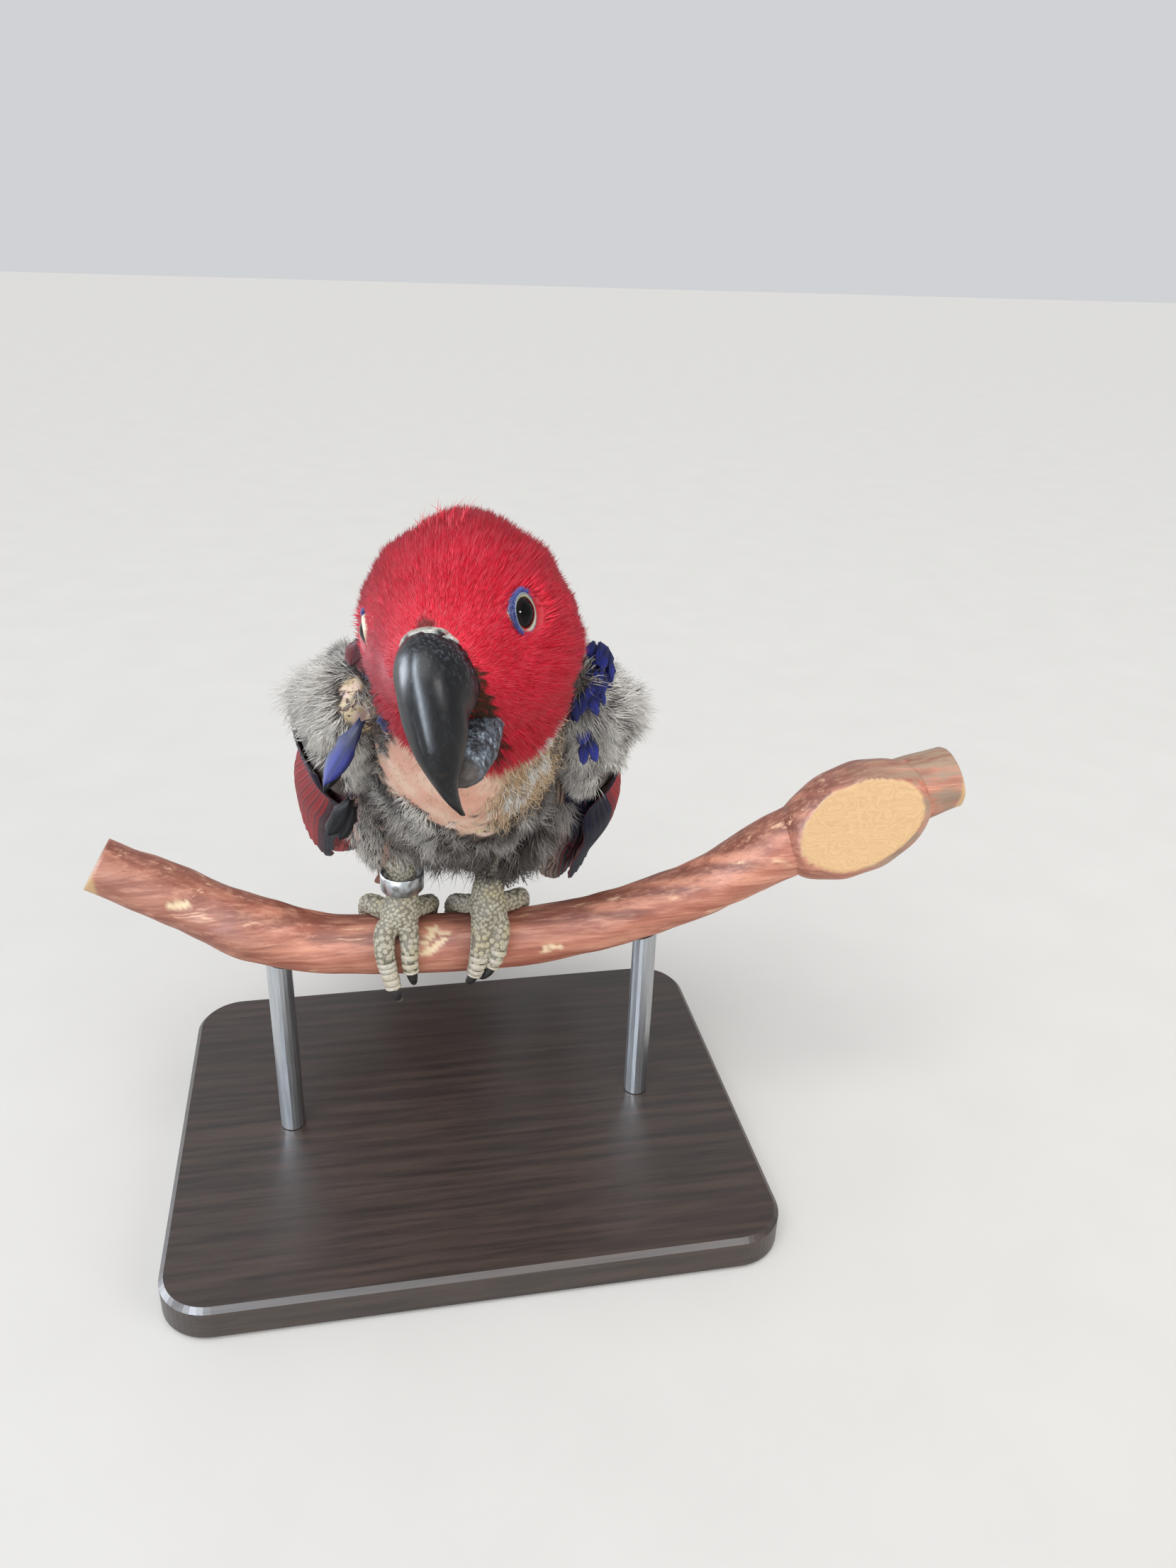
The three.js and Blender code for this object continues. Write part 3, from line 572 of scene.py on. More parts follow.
# %% Toes
# Each toe: its root, places across, angles from the branch's top to the front, radii, and its end's drop
TOES = {
    (-1, 1): ([-15, -1.5, 15], [-11, -9, -9, -10], [-14, -38, -66, -92], [3.4, 3.1, 2.6], 0),
    (-1, 2): ([-17.5, -8, 16], [-17, -17, -17.2, -16.8], [42, 62, 80, 98], [3.6, 3.1, 2.6], 0),
    (-1, 3): ([-22, -8.5, 15.5], [-24.5, -24.8, -24, -22.4], [44, 68, 92, 118], [3.8, 3.4, 2.7], 2.6),
    (-1, 4): ([-23, -1, 14.6], [-27, -29, -29.5, -29.5], [-12, -40, -72, -104], [3.6, 3.3, 2.7], 0),
    (1, 1): ([4.6, -1.6, 15], [1, -1, -1.5, -1.5], [-12, -38, -66, -92], [3.4, 3.1, 2.6], 0),
    (1, 2): ([6.2, -8.4, 15.6], [5.8, 5, 4, 3], [44, 66, 88, 108], [3.8, 3.4, 2.7], 0),
    (1, 3): ([10.8, -8, 14.6], [11.8, 11.4, 10.2, 8.6], [42, 62, 81, 98], [3.5, 3, 2.4], 0),
    (1, 4): ([12.5, -1.5, 15], [17, 20.5, 21.5, 21.5], [-8, -36, -70, -104], [3.6, 3.3, 2.7], 0),
}
SKIN_UNDER_SCALES = 0.35


def over_perch(points):
    return np.asarray(points, float) + [0, 0, PERCH_HEIGHT]


def branch_middle(x):
    y, z = BRANCH(x)[..., 0], BRANCH(x)[..., 1]
    return over_perch(np.stack([x + 0 * y, y, z], -1))


def toe_path(key, count=28):
    """The middle line of a toe with its radius, from its root round the branch."""
    root, across, angles, radius, drop = TOES[key]
    stops = [over_perch(root)]
    for i, (x, angle) in enumerate(zip(across, angles)):
        thick = lerp(radius[0], radius[2], (i + 1) / len(across))
        far = PERCH_RADIUS + 0.2 + thick + (drop if i == len(across) - 1 else 0)
        a = math.radians(angle)
        stops.append(branch_middle(x) + np.array([0, -far * math.sin(a), far * math.cos(a)]))
    line = smooth_line(stops, count)
    return line, smooth_line(np.array(radius)[:, None], count)[:, 0]


def limb_path(rows, count=22):
    rows = np.array(rows, float)
    path = smooth_line(rows, count)
    return over_perch(path[:, :3]), path[:, 3]


toe_lines = {key: toe_path(key) for key in TOES}
print("toes:", {key: round(float(np.linalg.norm(np.diff(line, axis=0), axis=1).sum()), 1)
                for key, (line, _) in toe_lines.items()}, "mm long")

# %% Skin
def leg_tubes(side):
    leg = LEGS[side]
    thigh_line, thigh_radius = limb_path(leg["thigh"])
    yield tube_rings(thigh_line, thigh_radius - 1.4, 30, np.array([0, -1.0, 0]))
    for name in ("shank", "palm"):
        line, radius = limb_path(leg[name])
        yield tube_rings(line, radius - SKIN_UNDER_SCALES, 26, np.array([0, -1.0, 0]))
    for key, (line, radius) in toe_lines.items():
        if key[0] == side:
            outward = unit(line - branch_middle(line[:, 0]))
            yield tube_rings(line, radius - SKIN_UNDER_SCALES, 22, outward)


lofts = [skin_of(trunk_rings()), skin_of(skull_rings())]
for side in (1, -1):
    lofts.append(skin_of(arm_rings(side)))
    lofts += [skin_of(rings) for rings in leg_tubes(side)]
loft_mesh = mesh_of("skin_lofts", *join_sets(lofts))
lofted = bpy.data.objects.new("skin_lofts", loft_mesh)
bpy.context.collection.objects.link(lofted)
melt = lofted.modifiers.new("melt", "REMESH")
melt.mode, melt.voxel_size, melt.use_smooth_shade = "VOXEL", 0.8 * MM, True
soften = lofted.modifiers.new("soften", "SMOOTH")
soften.factor, soften.iterations = 0.5, 6
evaluated = lofted.evaluated_get(bpy.context.evaluated_depsgraph_get())
skin_mesh = bpy.data.meshes.new_from_object(evaluated)
skin_mesh.name = "skin"
bpy.data.objects.remove(lofted)
print("skin:", len(skin_mesh.vertices), "points")

# %% Points of the skin and their pixels
def arrays_of(mesh):
    """Points of a mesh in millimetres, its normals, and its triangles."""
    points = np.zeros((len(mesh.vertices), 3), np.float32)
    mesh.vertices.foreach_get("co", points.ravel())
    normals = np.zeros_like(points)
    mesh.vertex_normals.foreach_get("vector", normals.ravel())
    mesh.calc_loop_triangles()
    triangles = np.zeros((len(mesh.loop_triangles), 3), np.int32)
    mesh.loop_triangles.foreach_get("vertices", triangles.ravel())
    return points.astype(float) / MM, normals.astype(float), triangles


def pixels_of(points):
    """Where points fall in the photograph."""
    away = points - CAMERA_AT
    scaled = FOCAL / (away @ AHEAD)
    return np.stack([PHOTO[0] / 2 + away @ RIGHT * scaled, PHOTO[1] / 2 - away @ UPWARD * scaled], -1)


skin_points, _, _ = arrays_of(skin_mesh)
print("skin in pixels:", pixels_of(skin_points).min(0).round(), "to", pixels_of(skin_points).max(0).round())

# %% Frames of the eyes
EYE = {"x": 8.5, "y": 16.2, "z": 5, "turn": 17, "lift": 4}
SOCKET = 5.0  # how far round the eye's axis the skin sinks
BROW = {1: 0.4, -1: 3.6 * 0.4}  # how much it rises just outside that


def eye_frame(side):
    """The middle of an eye and its directions outward, forward and up."""
    turn, lift = math.radians(EYE["turn"]), math.radians(EYE["lift"])
    out = unit(np.array([math.sin(turn), side * math.cos(turn), math.sin(lift)])) @ HEAD.T
    fore = unit(HEAD[:, 0] - dot(HEAD[:, 0], out) * out)
    return head_point(EYE["x"], side * EYE["y"], EYE["z"]), out, fore, np.cross(out, fore) * side


def eye_oval(ring, fore):
    """The lids are narrower fore and aft than up and down. fore is the cosine of the way round."""
    return 1 - 0.17 * fore**2 * ease(ring, 3.6, 4.8)


def round_eye(side, points):
    """Distances of points from the eye's axis and along it."""
    center, out, fore, _ = eye_frame(side)
    far = (points - center) @ out
    across = points - center - far[:, None] * out
    ring = np.maximum(np.linalg.norm(across, axis=1), 1e-6)
    return ring / eye_oval(ring, across @ fore / ring), far


print("eyes in pixels:", [pixels_of(eye_frame(side)[0]).round() for side in (1, -1)])

# %% Crown and eye sockets
# The crown is narrower than the skull's round section, as the photograph's outline shows
CROWN_MIDDLE, CROWN_TOP, CROWN_FOOT, TEMPLE_TOP, TEMPLE_FOOT = 660, 735, 790, 800, 850  # pixels
HEAD_ONLY = 190  # only the head is higher than this
across, down = pixels_of(skin_points).T
narrow = 0.2 * ease(down, CROWN_FOOT, CROWN_TOP) + 0.05 * ease(down, TEMPLE_FOOT, TEMPLE_TOP)
narrow = narrow * (skin_points[:, 2] > HEAD_ONLY)
skin_points[:, 0] -= (across - CROWN_MIDDLE) * narrow * ((skin_points - CAMERA_AT) @ AHEAD) / FOCAL
for side in (1, -1):
    _, out, _, _ = eye_frame(side)
    ring, far = round_eye(side, skin_points)
    print(SIDE_NAME[side], "eye: skin stands", round(float(far[(ring < 1) & (far > 0)].mean()), 2), "out")
    raised = far + BROW[side] * ease(ring, 10, 5)
    sunk = np.minimum(raised, lerp(1.6, raised, ease(ring, SOCKET - 1.3, SOCKET)))
    skin_points += np.where(far > 0, sunk - far, 0)[:, None] * out
skin_mesh.vertices.foreach_set("co", (skin_points * MM).ravel())
skin_mesh.update()
skin_points, skin_normals, skin_triangles = arrays_of(skin_mesh)
skin_tree = BVHTree.FromPolygons(skin_points.tolist(), skin_triangles.tolist())

# %% The skin under a pixel
def seen(x, y):
    """The skin's point and normal under a pixel of the photograph, or None where it shows no skin."""
    u, v = (x - PHOTO[0] / 2) / FOCAL, (PHOTO[1] / 2 - y) / FOCAL
    ray = unit(AHEAD + u * RIGHT + v * UPWARD)
    point, normal, _, _ = skin_tree.ray_cast(Vector(CAMERA_AT), Vector(ray))
    return (np.array(point), np.array(normal)) if point else None


def near_pixels(points, spots, ragged=1.0):
    """1 close to the skin under some pixels and 0 away from it. Each spot is a pixel and a radius."""
    close = np.zeros(len(points))
    for x, y, radius in spots:
        hit = seen(x, y)
        if hit:
            far = np.linalg.norm(points - hit[0], axis=1) + ragged * wander(points, 4, 8)
            close = np.maximum(close, ease(far, radius + 1, radius - 1))
    return close


print("skin box:", skin_points.min(0).round(1), skin_points.max(0).round(1))

# %% [markdown]
# ## Regions
# This hen has plucked herself: a full hood, a bare chest, and grey down elsewhere. The regions
# are soft functions of the two frames, so skin and coat read the same markings, and nothing is
# painted by hand. Distances to the legs' middle lines tell thighs and feet from the belly.

# %% Regions
def limb_gap(points, line, radius):
    """How far points lie outside a tube."""
    gap = np.full(len(points), np.inf)
    for center, size in zip(line, radius):
        gap = np.minimum(gap, np.linalg.norm(points - center, axis=1) - size)
    return gap


def arm_place(side, points):
    """Distances from an arm's middle, as shares of its half width and half height."""
    droop, flare = HANG[side]
    s, x, n = trunk_place(points)
    out, height, across, half = np.moveaxis(ARM(s), -1, 0)
    return s, (side * x - flare * s - out) / across, (n + droop * s - height) / half


# Pixels and radii of the sore bare spots, on the right shoulder and the chest
SORE = ((503, 1000, 4.6), (514, 1020, 4.0), (498, 970, 3.4), (690, 1172, 4.0))


def regions(points):
    s, x, n = trunk_place(points)
    around = np.degrees(np.arctan2(x, -n))  # 0 on the belly, 180 on the back
    part = {"s": s, "around": around, "hood": ease(s, HOOD_EDGE + 0.6, HOOD_EDGE - 0.6)}
    foot = np.full(len(points), np.inf)
    thigh = foot.copy()
    for side, leg in LEGS.items():
        thigh = np.minimum(thigh, limb_gap(points, *limb_path(leg["thigh"])))
        for name in ("shank", "palm"):
            foot = np.minimum(foot, limb_gap(points, *limb_path(leg[name])))
    for line, radius in toe_lines.values():
        foot = np.minimum(foot, limb_gap(points, line, radius))
    part["foot"] = ease(foot, 0.9, 0.4) * ease(points[:, 2], PERCH_HEIGHT + 38, PERCH_HEIGHT + 35)
    width, back, belly = np.moveaxis(TRUNK(s), -1, 0)
    girth = np.hypot(x / width, n / np.where(n > 0, back, belly))
    part["thigh"] = ease(thigh, 1.2, 0.2) * ease(girth, 0.93, 1.0) * (1 - part["foot"])
    arm = np.zeros(len(points))
    for side in (1, -1):
        place, e, h = arm_place(side, points)
        inside = ease(np.hypot(e, h), 1.15, 1.0) * ease(place, 6, 10) * ease(place, 96, 92)
        arm = np.maximum(arm, inside * ease(girth, 0.92, 1.0) * (side * x > 0))
    part["arm"] = arm * (1 - part["thigh"])
    ragged = 4 * wander(points, 11, 3) + 2.5 * wander(points, 4, 4)
    chest = ease(s + ragged, 31, 23) * ease(np.abs(around + 4) + 1.4 * ragged, 56, 46)
    part["sore"] = near_pixels(points, SORE, 0.6)
    part["bare"] = np.maximum(chest * (1 - part["hood"]) * (1 - part["arm"]), part["sore"])
    return part


skin = regions(skin_points)
print({name: round(float(values.mean()), 3) for name, values in skin.items()})

# %% [markdown]
# ## How the coat is planted
# Particle hair would be lost in the export, so each barb is a closed sliver of mesh: a few
# three-sided rings that end in a point. Roots are drawn on the skin by area and by how dense the
# coat is there, with a seeded draw, and each sliver leans along the lie of the coat. Every sliver
# also gets a small patch on an unwrap of the body's own form, so that its colours can be baked.

# %% Planting
def plant(count, density, seed):
    """Roots on the skin: point, normal and the draw that goes on after them."""
    draw = np.random.default_rng(seed)
    corners = skin_points[skin_triangles]
    area = np.linalg.norm(np.cross(corners[:, 1] - corners[:, 0], corners[:, 2] - corners[:, 0]), axis=1)
    running = np.cumsum(area * density[skin_triangles].mean(1))
    pick = np.searchsorted(running, draw.random(count) * running[-1])
    share = draw.dirichlet((1, 1, 1), count)[..., None]
    points = (corners[pick] * share).sum(1)
    normals = unit((skin_normals[skin_triangles[pick]] * share).sum(1))
    return points, normals, draw


BILL_ROOT = head_point(19.0, 0.0, -2.0)
SHOULDER_ROWS = (966, 998)  # pixel rows where the down of the right and the left shoulder reaches farthest


def shoulder_point(points):
    """1 where the down of a shoulder stands out in a point."""
    row = np.where(points[:, 0] < 0, *SHOULDER_ROWS)
    return hump(pixels_of(points)[:, 1] - row, 24)


def lie(points, normals):
    """The way the coat lies: from the bill over the hood, then back along the trunk and down the legs."""
    part = regions(points)
    from_bill = unit(points - BILL_ROOT)
    way = ALONG + 0 * points
    way = lerp(way, from_bill, part["hood"][:, None])
    outward = np.sign(points[:, :1]) * SIDEWAYS
    aside = 0.1 + 1.1 * shoulder_point(points)[:, None]
    way = lerp(way, unit(ALONG + aside * outward), part["arm"][:, None])
    hang = ease(points[:, 2], 134, 118) * (points[:, 1] < 20) * (1 - part["arm"])
    way = way - 0.9 * hang[:, None] * np.array([0, 0, 1])
    way = lerp(way, unit(np.array([0, -0.25, -1.0])), np.maximum(part["thigh"], part["foot"])[:, None])
    return unit(way - dot(way, normals) * normals)


print("the hood's feathers lie away from", BILL_ROOT.round(1))

# %% Slivers
PATCH = 0.003  # width of a strand's patch on the unwrap


def strands(line, side, rise, width):
    """Closed slivers along line, an array of strand by step by place, which end in a point."""
    count, steps, _ = line.shape
    ring = np.stack([-0.5 * side, 0.5 * side, 0.45 * rise], 1)
    body = line[:, :-1, None] + width[:, :, None, None] * ring[:, None]
    points = np.concatenate([body.reshape(count, -1, 3), line[:, -1:]], 1)
    faces = [[0, 1, 2]]
    for i in range(steps - 1):
        for a, b in ((0, 1), (1, 2), (2, 0)):
            p, q = 3 * i + a, 3 * i + b
            if i < steps - 2:
                faces += [[p, p + 3, q + 3], [p, q + 3, q]]
            else:
                faces.append([p, 3 * (steps - 1), q])
    per = points.shape[1]
    faces = np.array(faces)[None] + (np.arange(count) * per)[:, None, None]
    grown = np.append(np.repeat(np.linspace(0, 1, steps)[:-1], 3), 1.0)
    return points.reshape(-1, 3), faces.reshape(-1, 3), np.tile(grown, count), per


def patches(roots_uv, per, count):
    """A small patch on the unwrap for each strand or feather of per points."""
    corner = np.linspace(0, 1, per)
    shape = np.stack([0.5 + 0.5 * np.sin(corner * 40), corner], -1) * PATCH
    uv = np.clip(roots_uv, 0.005, 0.99)[:, None] + shape[None]
    return uv.reshape(count * per, 2)


print("a strand's patch on the unwrap is", PATCH, "wide")

# %% Unwraps of the coats
def around_trunk(points):
    s, x, n = trunk_place(points)
    return np.stack([np.arctan2(x, n) / (2 * np.pi) + 0.5, (s + 35) / 160], -1)


def around_head(points):
    x, y, z = head_place(points)
    return np.stack([np.arctan2(y, z) / (2 * np.pi) + 0.5, (x + 45) / 75], -1)


def around_arm(points):
    s, e, h = arm_place(1 if points[:, 0].mean() > 0 else -1, points)
    return np.stack([np.arctan2(e, h) / (2 * np.pi) + 0.5, s / 100], -1)


def around_leg(points):
    side = np.sign(points[:, 0])
    turn = np.arctan2(points[:, 0] - side * 18, points[:, 1] - 2) / (2 * np.pi) + 0.5
    height = (points[:, 2] - PERCH_HEIGHT - 10) / 70
    return np.stack([0.5 * turn + np.where(side > 0, 0.5, 0.0), height], -1)


print("the hood's root on the unwrap:", around_head(BILL_ROOT[None]).round(2))

# %% A mesh of slivers
def coat_mesh(mesh_name, line, side, rise, width, unwrap, **root_fields):
    """A mesh of strands with tip, luck and any other values of their roots, and the unwrap."""
    points, faces, grown, per = strands(line, side, rise, width)
    count = len(line)
    mesh = mesh_of(mesh_name, points, [faces])
    set_fields(mesh, tip=grown, **{name: np.repeat(values, per) for name, values in root_fields.items()})
    set_unwrap(mesh, patches(unwrap(line[:, 0]), per, count))
    return mesh


print("a bent strand of three steps has", len(strands(np.zeros((1, 3, 3)), np.ones((1, 3)), np.ones((1, 3)),
                                                      np.ones((1, 2)))[1]), "triangles")

# %% [markdown]
# ## The skin's finish
# Plucked parrot skin is pink to tan, thin and finely wrinkled, with small bumps where feathers
# grew. Under the hood it takes the hood's red, and under down a dusky grey that is painted shade,
# the shade deep inside the down, so that no pale gaps shine through the coat. On the feet it is
# the dark grey-tan between the scales. One material mixes them by the regions' values.

# %% Skin material
RED = (206, 22, 44)
DEEP_RED = (150, 8, 26)
PINK = (232, 196, 174)
FLUSH = (222, 164, 142)
TAN = (216, 184, 150)
SHADE_UNDER_DOWN = (88, 76, 70)
FOOT = (124, 116, 98)


def skin_recipe(place):
    blotch = place.noise(9, 4).rise(0.35, 0.68)
    fine = place.noise(1.6, 4, 0.7)
    bare = blotch.mix(PINK, FLUSH)
    bare = place["tan"].mix(bare, TAN)
    bare = (fine.rise(0.5, 0.8) * 0.35).mix(bare, (196, 154, 136))
    scab = place.noise(2.2, 4, 0.7).rise(0.54, 0.6)
    sore = place.noise(5, 2).rise(0.4, 0.6).mix((232, 200, 196), (224, 202, 160))
    sore = scab.mix(sore, (96, 66, 54))
    bare = place["sore"].mix(bare, sore)
    # Painted shade: under the down the skin is a dusky grey, standing for the shade deep inside the coat
    under = fine.rise(0.3, 0.7).mix((60, 50, 46), SHADE_UNDER_DOWN)
    base = place["bare"].mix(under, bare)
    base = place["hood"].mix(base, fine.mix(DEEP_RED, RED))
    base = place["foot"].mix(base, FOOT)
    wrinkle = place.shift(place.noise(3, 2, output=1).stretch(0.002, 0.002, 0.002)).stretch(1, 2.4, 2.4)
    folds = wrinkle.noise(1.1, 5, 0.65)
    pores = place.cells(1.7).rise(0.0, 0.45)
    height = folds * 0.7 + pores * 0.3
    return look(base, fine.rise(0, 1) * 0.2 + 0.5, height.bump(0.35, 0.8))


skin_finish = finish("skin", skin_recipe, Subsurface_Weight=0.12, Subsurface_Scale=0.003,
                     Specular_IOR_Level=0.4)
set_fields(
    skin_mesh,
    hood=skin["hood"],
    foot=skin["foot"],
    sore=skin["sore"] * ease(skin["s"], 40, 30),
    bare=np.maximum(skin["bare"], 0.5 * skin["thigh"] * (skin_points[:, 0] < 0)),
    tan=ease(skin["around"], 5, 30) * ease(skin["s"], 30, 5),
)
FLESH = ["head", "neck", "torso"] + [f"{n}_{s}" for n in ("thigh", "shank") for s in ("left", "right")]
FLESH += [f"toe_{SIDE_NAME[side]}_{number}" for side, number in TOES]
add_piece("skin", skin_mesh, skin_finish, FLESH)

# %% [markdown]
# ## The red hood
# Hood feathers are so fine that they read as hair: each is painted darker towards its root, as
# shade inside the coat, and some have a pink tip, a painted highlight. They start at the bill and
# sweep back, short on the face and longer towards the nape. The hood is two pieces, left and
# right, of straight slivers, because on so round a form a bend in each would not be seen.

# %% Bare and dark places of the hood
def bare_face(points):
    """1 where the hood's feathers grow and 0 round the eyes."""
    grown = np.ones(len(points))
    for side in (1, -1):
        ring, far = round_eye(side, points)
        grown *= np.where(far > 0, ease(ring, 5.45, 5.9), 1)
    return grown


# Pixels down the corner of the mouth
MOUTH = np.array([[662, 962], [670, 985], [677, 1008], [684, 1028], [688, 1044]])


def gape(points):
    """1 beside the mouth and just over the cere, where the hood is painted dark brown."""
    spot = pixels_of(points)[:, None] - MOUTH[:-1]
    leg = MOUTH[1:] - MOUTH[:-1]
    along = ((spot * leg).sum(-1) / (leg**2).sum(-1)).clip(0, 1)[..., None]
    far = np.linalg.norm(spot - along * leg, axis=-1).min(1) + 5 * wander(points, 2.0, 9)
    brow = ease(np.linalg.norm(points - head_point(23.4, 0.6, 8.8), axis=1), 3.0, 1.4)
    return np.maximum(ease(far, 20, 12) * (points[:, 0] > -14), 0.8 * brow)


print("bare round the eyes:", int((bare_face(skin_points) == 0).sum()), "points of the skin")

# %% Hood coat
HOOD_STRANDS = 44000
HOOD_LENGTH = 4.8


def hood_recipe(place):
    luck, tip = place["luck"], place["tip"]
    patch = place.noise(7, 3).rise(0.35, 0.7)
    base = patch.mix((236, 30, 60), (248, 46, 76))
    base = (luck.rise(0.5, 0.0) * 0.5).mix(base, (186, 12, 36))
    # Painted highlight: a pink tip on some strands
    base = (tip * luck.rise(0.5, 1.0) * 0.6).mix(base, (250, 128, 136))
    # Painted shade: each strand darkens towards its root, inside the coat
    base = ((1 - tip) * 0.25).mix(base, (160, 10, 30))
    base = place["gape"].mix(base, luck.mix((34, 22, 16), (92, 62, 40)))
    return look(base, luck * 0.2 + 0.5)


hood_finish = finish("hood feather", hood_recipe, Specular_IOR_Level=0.25)
hood_density = skin["hood"] * bare_face(skin_points)
for side in (1, -1):
    _, across, _ = head_place(skin_points)
    roots, normals, draw = plant(HOOD_STRANDS, hood_density * (side * across > 0), 40 + side)
    way = lie(roots, normals)
    count = len(roots)
    from_bill = np.linalg.norm(roots - BILL_ROOT, axis=1)
    length = HOOD_LENGTH * lerp(0.36, 1.15, ease(from_bill, 8, 34)) * draw.uniform(0.75, 1.3, count)
    length *= lerp(0.45, 1, ease(round_eye(-1, roots)[0], 6, 11))
    sway = 0.12 * wander(roots, 2.2, 12) + draw.normal(0, 0.06, count)
    lift = 0.3 + 0.09 * wander(roots, 3.0, 13) + draw.normal(0, 0.07, count)
    heading = unit(way + np.cross(normals, way) * sway[:, None] + normals * lift[:, None])
    line = np.stack([roots - 0.35 * normals, roots + heading * length[:, None]], 1)
    turned = unit(np.cross(heading, normals))
    width = draw.uniform(0.24, 0.4, (count, 1))
    mesh = coat_mesh("hood_coat", line, turned, np.cross(turned, heading), width, around_head,
                     luck=draw.random(count), gape=gape(roots))
    add_piece(f"hood_coat_{SIDE_NAME[side]}", mesh, hood_finish, ["head"])

# %% [markdown]
# ## Down
# Where the contour feathers are gone, the grey down below them shows: loose tufts of barbs,
# longest on the shoulders, where they stand out past the outline in soft points. A tuft here is
# several bent slivers from nearly one root. Pale tips over roots painted dark, as the shade inside
# the coat, give its depth.

# %% Down
def down_tone(points, part):
    """How pale and how brown the down is, with painted shade on the bird's left side and on the flanks under
    the wings.
    """
    s, around, height = part["s"], np.abs(part["around"]), points[:, 2]
    cloud = wander(points, 13, 21)
    # Painted shade: the trunk's down is darker on the bird's left side
    pale = 0.42 - 0.3 * ease(s, 40, 80) * (around < 90) + 0.14 * cloud - 0.32 * ease(part["around"], 5, 45)
    arm = 0.98 + 0.2 * cloud - 0.4 * ease(height, 182, 196)
    # Painted shade: the left arm's down is darker
    arm = arm + (0.35 * wander(points, 6, 22) - 0.3) * (part["around"] > 0)
    pale = lerp(pale, arm, part["arm"])
    # Painted shade: the left thigh's down is darker than the right's
    pale = lerp(pale, np.where(part["around"] > 0, 0.2, 0.7), part["thigh"])
    # Partly painted shade: the flanks under the wings are darker and browner, both their own brown down and
    # the shade of the wings
    flank = ease(around, 52, 66) * ease(around, 98, 86) * ease(s, 62, 45) * (1 - part["arm"])
    brown = 0.25 * ease(s, 20, 60) + 0.85 * flank
    return np.clip(pale - 0.35 * flank, 0, 1), np.clip(brown, 0, 1)


def down_recipe(place):
    luck, tip, pale = place["luck"], place["tip"], place["pale"]
    dark = place["brown"].mix((60, 54, 50), (54, 38, 28))
    base = (pale * 0.9 + luck * 0.25 - 0.1).rise(0.0, 1.0).mix((84, 76, 72), (236, 232, 225))
    base = (place["brown"] * 0.7).mix(base, (96, 74, 58))
    # Painted shade: each barb darkens towards its root, inside the coat
    base = (tip + place.noise(5, 2) * 0.4).rise(0.15, 0.75).mix(dark, base)
    return look(base, luck * 0.15 + 0.75)


down_finish = finish("down", down_recipe, Sheen_Weight=0.12, Specular_IOR_Level=0.2)
print("down, palest part:", round(float(down_tone(skin_points, skin)[0].max()), 2))

# %% Tufts of down
BARBS = 8  # to a tuft


def gather(roots, draw, every=12):
    """The way from each tuft to the middle of its clump, and a random value of the clump."""
    middles = roots[draw.choice(len(roots), len(roots) // every, replace=False)]
    nearest = np.linalg.norm(roots[:, None] - middles[None], axis=-1).argmin(1)
    return middles[nearest] - roots, draw.random(len(middles))[nearest]


def down_coat(name, tufts, density, seed, unwrap, length, lift, nodes):
    """Tufts of barbs over part of the skin. length and lift are given for each tuft's root."""
    roots, normals, draw = plant(tufts, density, seed)
    way, part = lie(roots, normals), regions(roots)
    pale, brown = down_tone(roots, part)
    inward, clump = gather(roots, draw)
    pale = np.clip(pale + 0.65 * (clump - 0.5), 0, 1)
    long, lean = length(roots, part) * (0.8 + 0.4 * clump), lift(roots, part)
    lean = lean + 0.25 * wander(roots, 5, seed + 1) + draw.normal(0, 0.12, len(roots))
    sway = 0.5 * wander(roots, 6, seed + 2) + draw.normal(0, 0.2, len(roots))

    def each(values):
        return np.repeat(values, BARBS, axis=0)

    count = len(roots) * BARBS
    out, ahead = each(normals), each(way)
    side = np.cross(out, ahead)
    tilt = each(lean) + draw.normal(0, 0.2, count)
    turn = each(sway) + draw.normal(0, 0.26, count)
    start = each(roots) + 0.5 * draw.normal(size=(count, 3)) - 0.4 * out
    first = unit(np.cos(tilt)[:, None] * ahead + np.sin(tilt)[:, None] * out + turn[:, None] * side)
    second = first + 0.35 * ahead + 0.22 * each(inward) - [0, 0, 0.12]
    second = unit(second + draw.normal(0, 0.16, (count, 3)))
    half = (each(long) * draw.uniform(0.35, 0.6, count))[:, None]
    line = np.stack([start, start + first * half, start + (first + second) * half], 1)
    turned = unit(np.cross(first, out))
    width = draw.uniform(0.2, 0.36, (count, 1)) * [1.0, 0.75]
    mesh = coat_mesh(name, line, turned, np.cross(turned, first), width, unwrap,
                     luck=each(draw.random(len(roots))) * 0.5 + 0.5 * draw.random(count),
                     pale=each(pale), brown=each(brown))
    return add_piece(name, mesh, down_finish, nodes)


print("a tuft of down has", BARBS, "barbs")

# %% Down on trunk, arms and legs
on_trunk = (1 - skin["hood"]) * (1 - skin["bare"]) * (1 - skin["arm"]) * (1 - skin["foot"])
below = np.abs(skin["around"]) < 92
ARM_DOWN_END = {1: 32, -1: 20}  # along the trunk, where the flight feathers come out of the down


def trunk_length(roots, part):
    hanging = (4.5 + 5 * ease(roots[:, 0], -4, 10)) * ease(roots[:, 2], 128, 114)
    return lerp(3.6, 7.2, ease(part["s"], 8, 50)) + hanging * ease(np.abs(part["around"]), 70, 45)


def hang_down(side, roots):
    """1 on the arm's outer and lower side, where its down is long and stands out, 0 on its top."""
    _, out, height = arm_place(side, roots)
    return ease(height - 0.2 * out, 0.6, 0.0)


